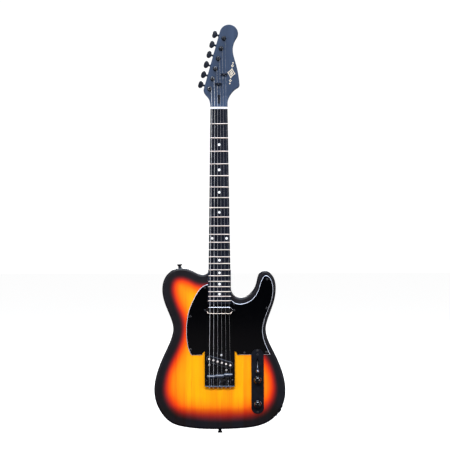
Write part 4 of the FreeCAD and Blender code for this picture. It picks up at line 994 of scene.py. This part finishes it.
def lozenge_rim(half_long, half_wide):
    """Points round a lozenge whose sides curve slightly inwards."""
    tips = [Vector((0, half_long)), Vector((half_wide, 0)), Vector((0, -half_long)), Vector((-half_wide, 0))]
    rim = []
    for a, b in zip(tips, tips[1:] + tips[:1]):
        for k in range(8):
            t = k / 8
            rim.append(a.lerp(b, t) * (1 - 0.5 * t * (1 - t)))
    return rim


def ornament_point(flat, along, y):
    """Where a lozenge's flat point goes, for a lozenge this far along the tilted column."""
    up = flat.y + along
    x = ORNAMENT_CENTRE[0] + flat.x * math.cos(ORNAMENT_TILT) + up * math.sin(ORNAMENT_TILT)
    z = ORNAMENT_CENTRE[1] + up * math.cos(ORNAMENT_TILT) - flat.x * math.sin(ORNAMENT_TILT)
    return Vector((x, y, z)) * MM


def make_ornament(looks):
    """A column of lozenges, laid thinly on the headstock's face."""
    shape = bmesh.new()
    low, high = HEAD_FACE_Y + 0.05, HEAD_FACE_Y - 0.06

    def ring(rim, along, y):
        return [shape.verts.new(ornament_point(point, along, y)) for point in rim]

    for along, half_long, half_wide, outline in LOZENGES:
        outer = lozenge_rim(half_long, half_wide)
        bottom = ring(outer, along, low)
        top = ring(outer, along, high)
        if not outline:
            bridge_rings(shape, [bottom, top])
            shape.faces.new(bottom)
            shape.faces.new(top)
            continue
        inner = lozenge_rim(half_long - outline * 1.5, half_wide - outline)
        bridge_rings(shape, [bottom, top, ring(inner, along, high), ring(inner, along, low), bottom])
    made = piece("headstock_ornament", shape, looks["cream"])
    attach(made, "root")


# ---- stage ----
VIEW_CENTRE = (13.75, 497.4)   # x and z in the middle of the picture
VIEW_HEIGHT = 1095.0           # height of what it takes in, at the body's face
VIEW_DISTANCE = 3600.0
VIEW_ROLL = math.radians(0.17)
SENSOR = 36.0
FLOOR_HALF = 12.0              # metres
FLOOR_GAP = 0.0004             # metres, under the lower strap button


def make_camera():
    data = bpy.data.cameras.new("camera")
    data.sensor_width = SENSOR
    data.lens = SENSOR * VIEW_DISTANCE / VIEW_HEIGHT
    data.clip_end = 50.0
    camera = bpy.data.objects.new("camera", data)
    camera.location = Vector((VIEW_CENTRE[0], FACE_Y - VIEW_DISTANCE, VIEW_CENTRE[1])) * MM
    camera.rotation_euler = (math.pi / 2, VIEW_ROLL, 0)
    bpy.context.scene.collection.objects.link(camera)
    bpy.context.scene.camera = camera


def make_floor():
    """A large pale floor, just below the strap button, which melts into the white background."""
    low = CAD_BOX[0].z - FLOOR_GAP
    shape = bmesh.new()
    corners = [(-1, -1), (1, -1), (1, 1), (-1, 1)]
    shape.faces.new([shape.verts.new((x * FLOOR_HALF, y * FLOOR_HALF, low)) for x, y in corners])
    mesh = bpy.data.meshes.new("floor")
    shape.to_mesh(mesh)
    shape.free()
    s = Shader("pale_floor", Roughness=0.9)
    s.surface.inputs["Base Color"].default_value = (0.2, 0.2, 0.2, 1)
    glow = s.add("ShaderNodeEmission", {"Color": (1, 1, 1, 1), "Strength": 0.97})
    dim = s.add("ShaderNodeBsdfDiffuse", {"Color": (0.06, 0.052, 0.05, 1)})
    ray = s.add("ShaderNodeLightPath").outputs["Is Camera Ray"]
    both = s.add("ShaderNodeAddShader")
    s.tree.links.new(s.surface.outputs[0], both.inputs[0])
    s.tree.links.new(glow.outputs[0], both.inputs[1])
    seen = s.add("ShaderNodeMixShader", {0: ray})
    s.tree.links.new(dim.outputs[0], seen.inputs[1])
    s.tree.links.new(both.outputs[0], seen.inputs[2])
    s.tree.links.new(seen.outputs[0], s.tree.nodes["Material Output"].inputs[0])
    mesh.materials.append(s.material)
    floor = bpy.data.objects.new("floor", mesh)
    bpy.context.scene.collection.objects.link(floor)


def make_world():
    """White to the camera, and dim to everything it lights."""
    world = bpy.data.worlds.new("studio")
    world.use_nodes = True
    tree = world.node_tree
    tree.nodes.clear()
    seen = tree.nodes.new("ShaderNodeBackground")
    seen.inputs["Color"].default_value = (1, 1, 1, 1)
    seen.inputs["Strength"].default_value = 1.05
    lighting = tree.nodes.new("ShaderNodeBackground")
    lighting.inputs["Color"].default_value = (0.80, 0.86, 1.0, 1)
    lighting.inputs["Strength"].default_value = 0.02
    ray = tree.nodes.new("ShaderNodeLightPath")
    mix = tree.nodes.new("ShaderNodeMixShader")
    output = tree.nodes.new("ShaderNodeOutputWorld")
    tree.links.new(ray.outputs["Is Camera Ray"], mix.inputs[0])
    tree.links.new(lighting.outputs[0], mix.inputs[1])
    tree.links.new(seen.outputs[0], mix.inputs[2])
    tree.links.new(mix.outputs[0], output.inputs[0])
    bpy.context.scene.world = world
    bpy.context.scene.view_settings.view_transform = "Standard"


def soft_light(name, place, target, size, power, colour):
    """A rectangular lamp: places and size in metres, and power in watts."""
    data = bpy.data.lights.new(name, "AREA")
    data.shape = "RECTANGLE"
    data.size, data.size_y = size
    data.energy = power
    data.color = colour
    lamp = bpy.data.objects.new(name, data)
    lamp.location = place
    lamp.rotation_euler = (Vector(target) - Vector(place)).to_track_quat("-Z", "Y").to_euler()
    bpy.context.scene.collection.objects.link(lamp)
    return lamp


def light_only(lamp, lit):
    """Keeps a lamp's light to a few pieces."""
    receivers = bpy.data.collections.new(lamp.name + "_lights")
    for made in lit:
        receivers.objects.link(made)
    lamp.light_linking.receiver_collection = receivers


def light_except(lamp, unlit):
    """Keeps a lamp's light off a few pieces."""
    skipped = bpy.data.collections.new(lamp.name + "_skips")
    for made in unlit:
        skipped.objects.link(made)
    for entry in skipped.collection_objects:
        entry.light_linking.link_state = "EXCLUDE"
    lamp.light_linking.receiver_collection = skipped


def make_lights(knobs):
    key = soft_light("front_key", (0.0, -3.3, 2.4), (0.0, 0.0, 0.35), (2.4, 0.9), 158, (0.98, 0.98, 1.0))
    light_except(key, knobs)
    soft_light("top_cool", (0.0, -0.35, 2.6), (0.0, -0.35, 0.0), (1.8, 2.2), 105, (0.62, 0.77, 1.0))
    soft_light("back_top", (0.0, 1.5, 2.6), (0.0, 0.0, 0.3), (2.4, 0.7), 45, (0.72, 0.85, 1.0))
    soft_light("back_key", (0.0, 3.4, 1.9), (0.0, 0.0, 0.4), (2.4, 1.0), 170, (1.0, 0.98, 0.95))
    soft_light("left_strip", (-2.6, -2.3, 0.7), (0.0, 0.0, 0.45), (0.3, 1.7), 26, (0.92, 0.95, 1.0))
    soft_light("right_strip", (2.6, -2.3, 0.7), (0.0, 0.0, 0.45), (0.3, 1.7), 26, (0.92, 0.95, 1.0))
    cover_glint = soft_light("cover_glint", (0.0, -0.55, 0.03), (0.0, -0.04, 0.285), (0.9, 0.3), 11.0,
                             (1.0, 0.86, 0.72))
    light_only(cover_glint, [NODES["neck_pickup_cover"]])
    knob_glint = soft_light("knob_glint", (0.09, -0.95, 1.35), (0.09, -0.04, 0.09), (1.1, 0.35), 26.0,
                            (0.82, 0.88, 1.0))
    light_only(knob_glint, knobs)
    soft_light("low_left", (-1.0, -1.5, 0.06), (0.0, 0.0, 0.2), (0.5, 0.1), 2.0, (1.0, 0.86, 0.80))
    soft_light("low_right", (1.0, -1.5, 0.06), (0.0, 0.0, 0.2), (0.5, 0.1), 2.0, (1.0, 0.86, 0.80))


# ---- everything ----
def main():
    make_camera()
    make_world()
    make_floor()
    looks = make_materials()
    dress_cad_nodes(looks)
    make_body(looks)
    for i in range(len(STRING_RADII)):
        make_string(i, looks)
        make_ball_end(i, looks)
        make_winding(i, looks)
        make_key(6 - i, looks)
        make_post(6 - i, looks)
    make_intonation_springs(looks)
    make_pickup_springs(looks)
    make_lights(make_knobs(looks))
    make_switch_tip(looks)
    make_ornament(looks)


def write_sizes():
    bpy.context.view_layer.update()


main()
write_sizes()
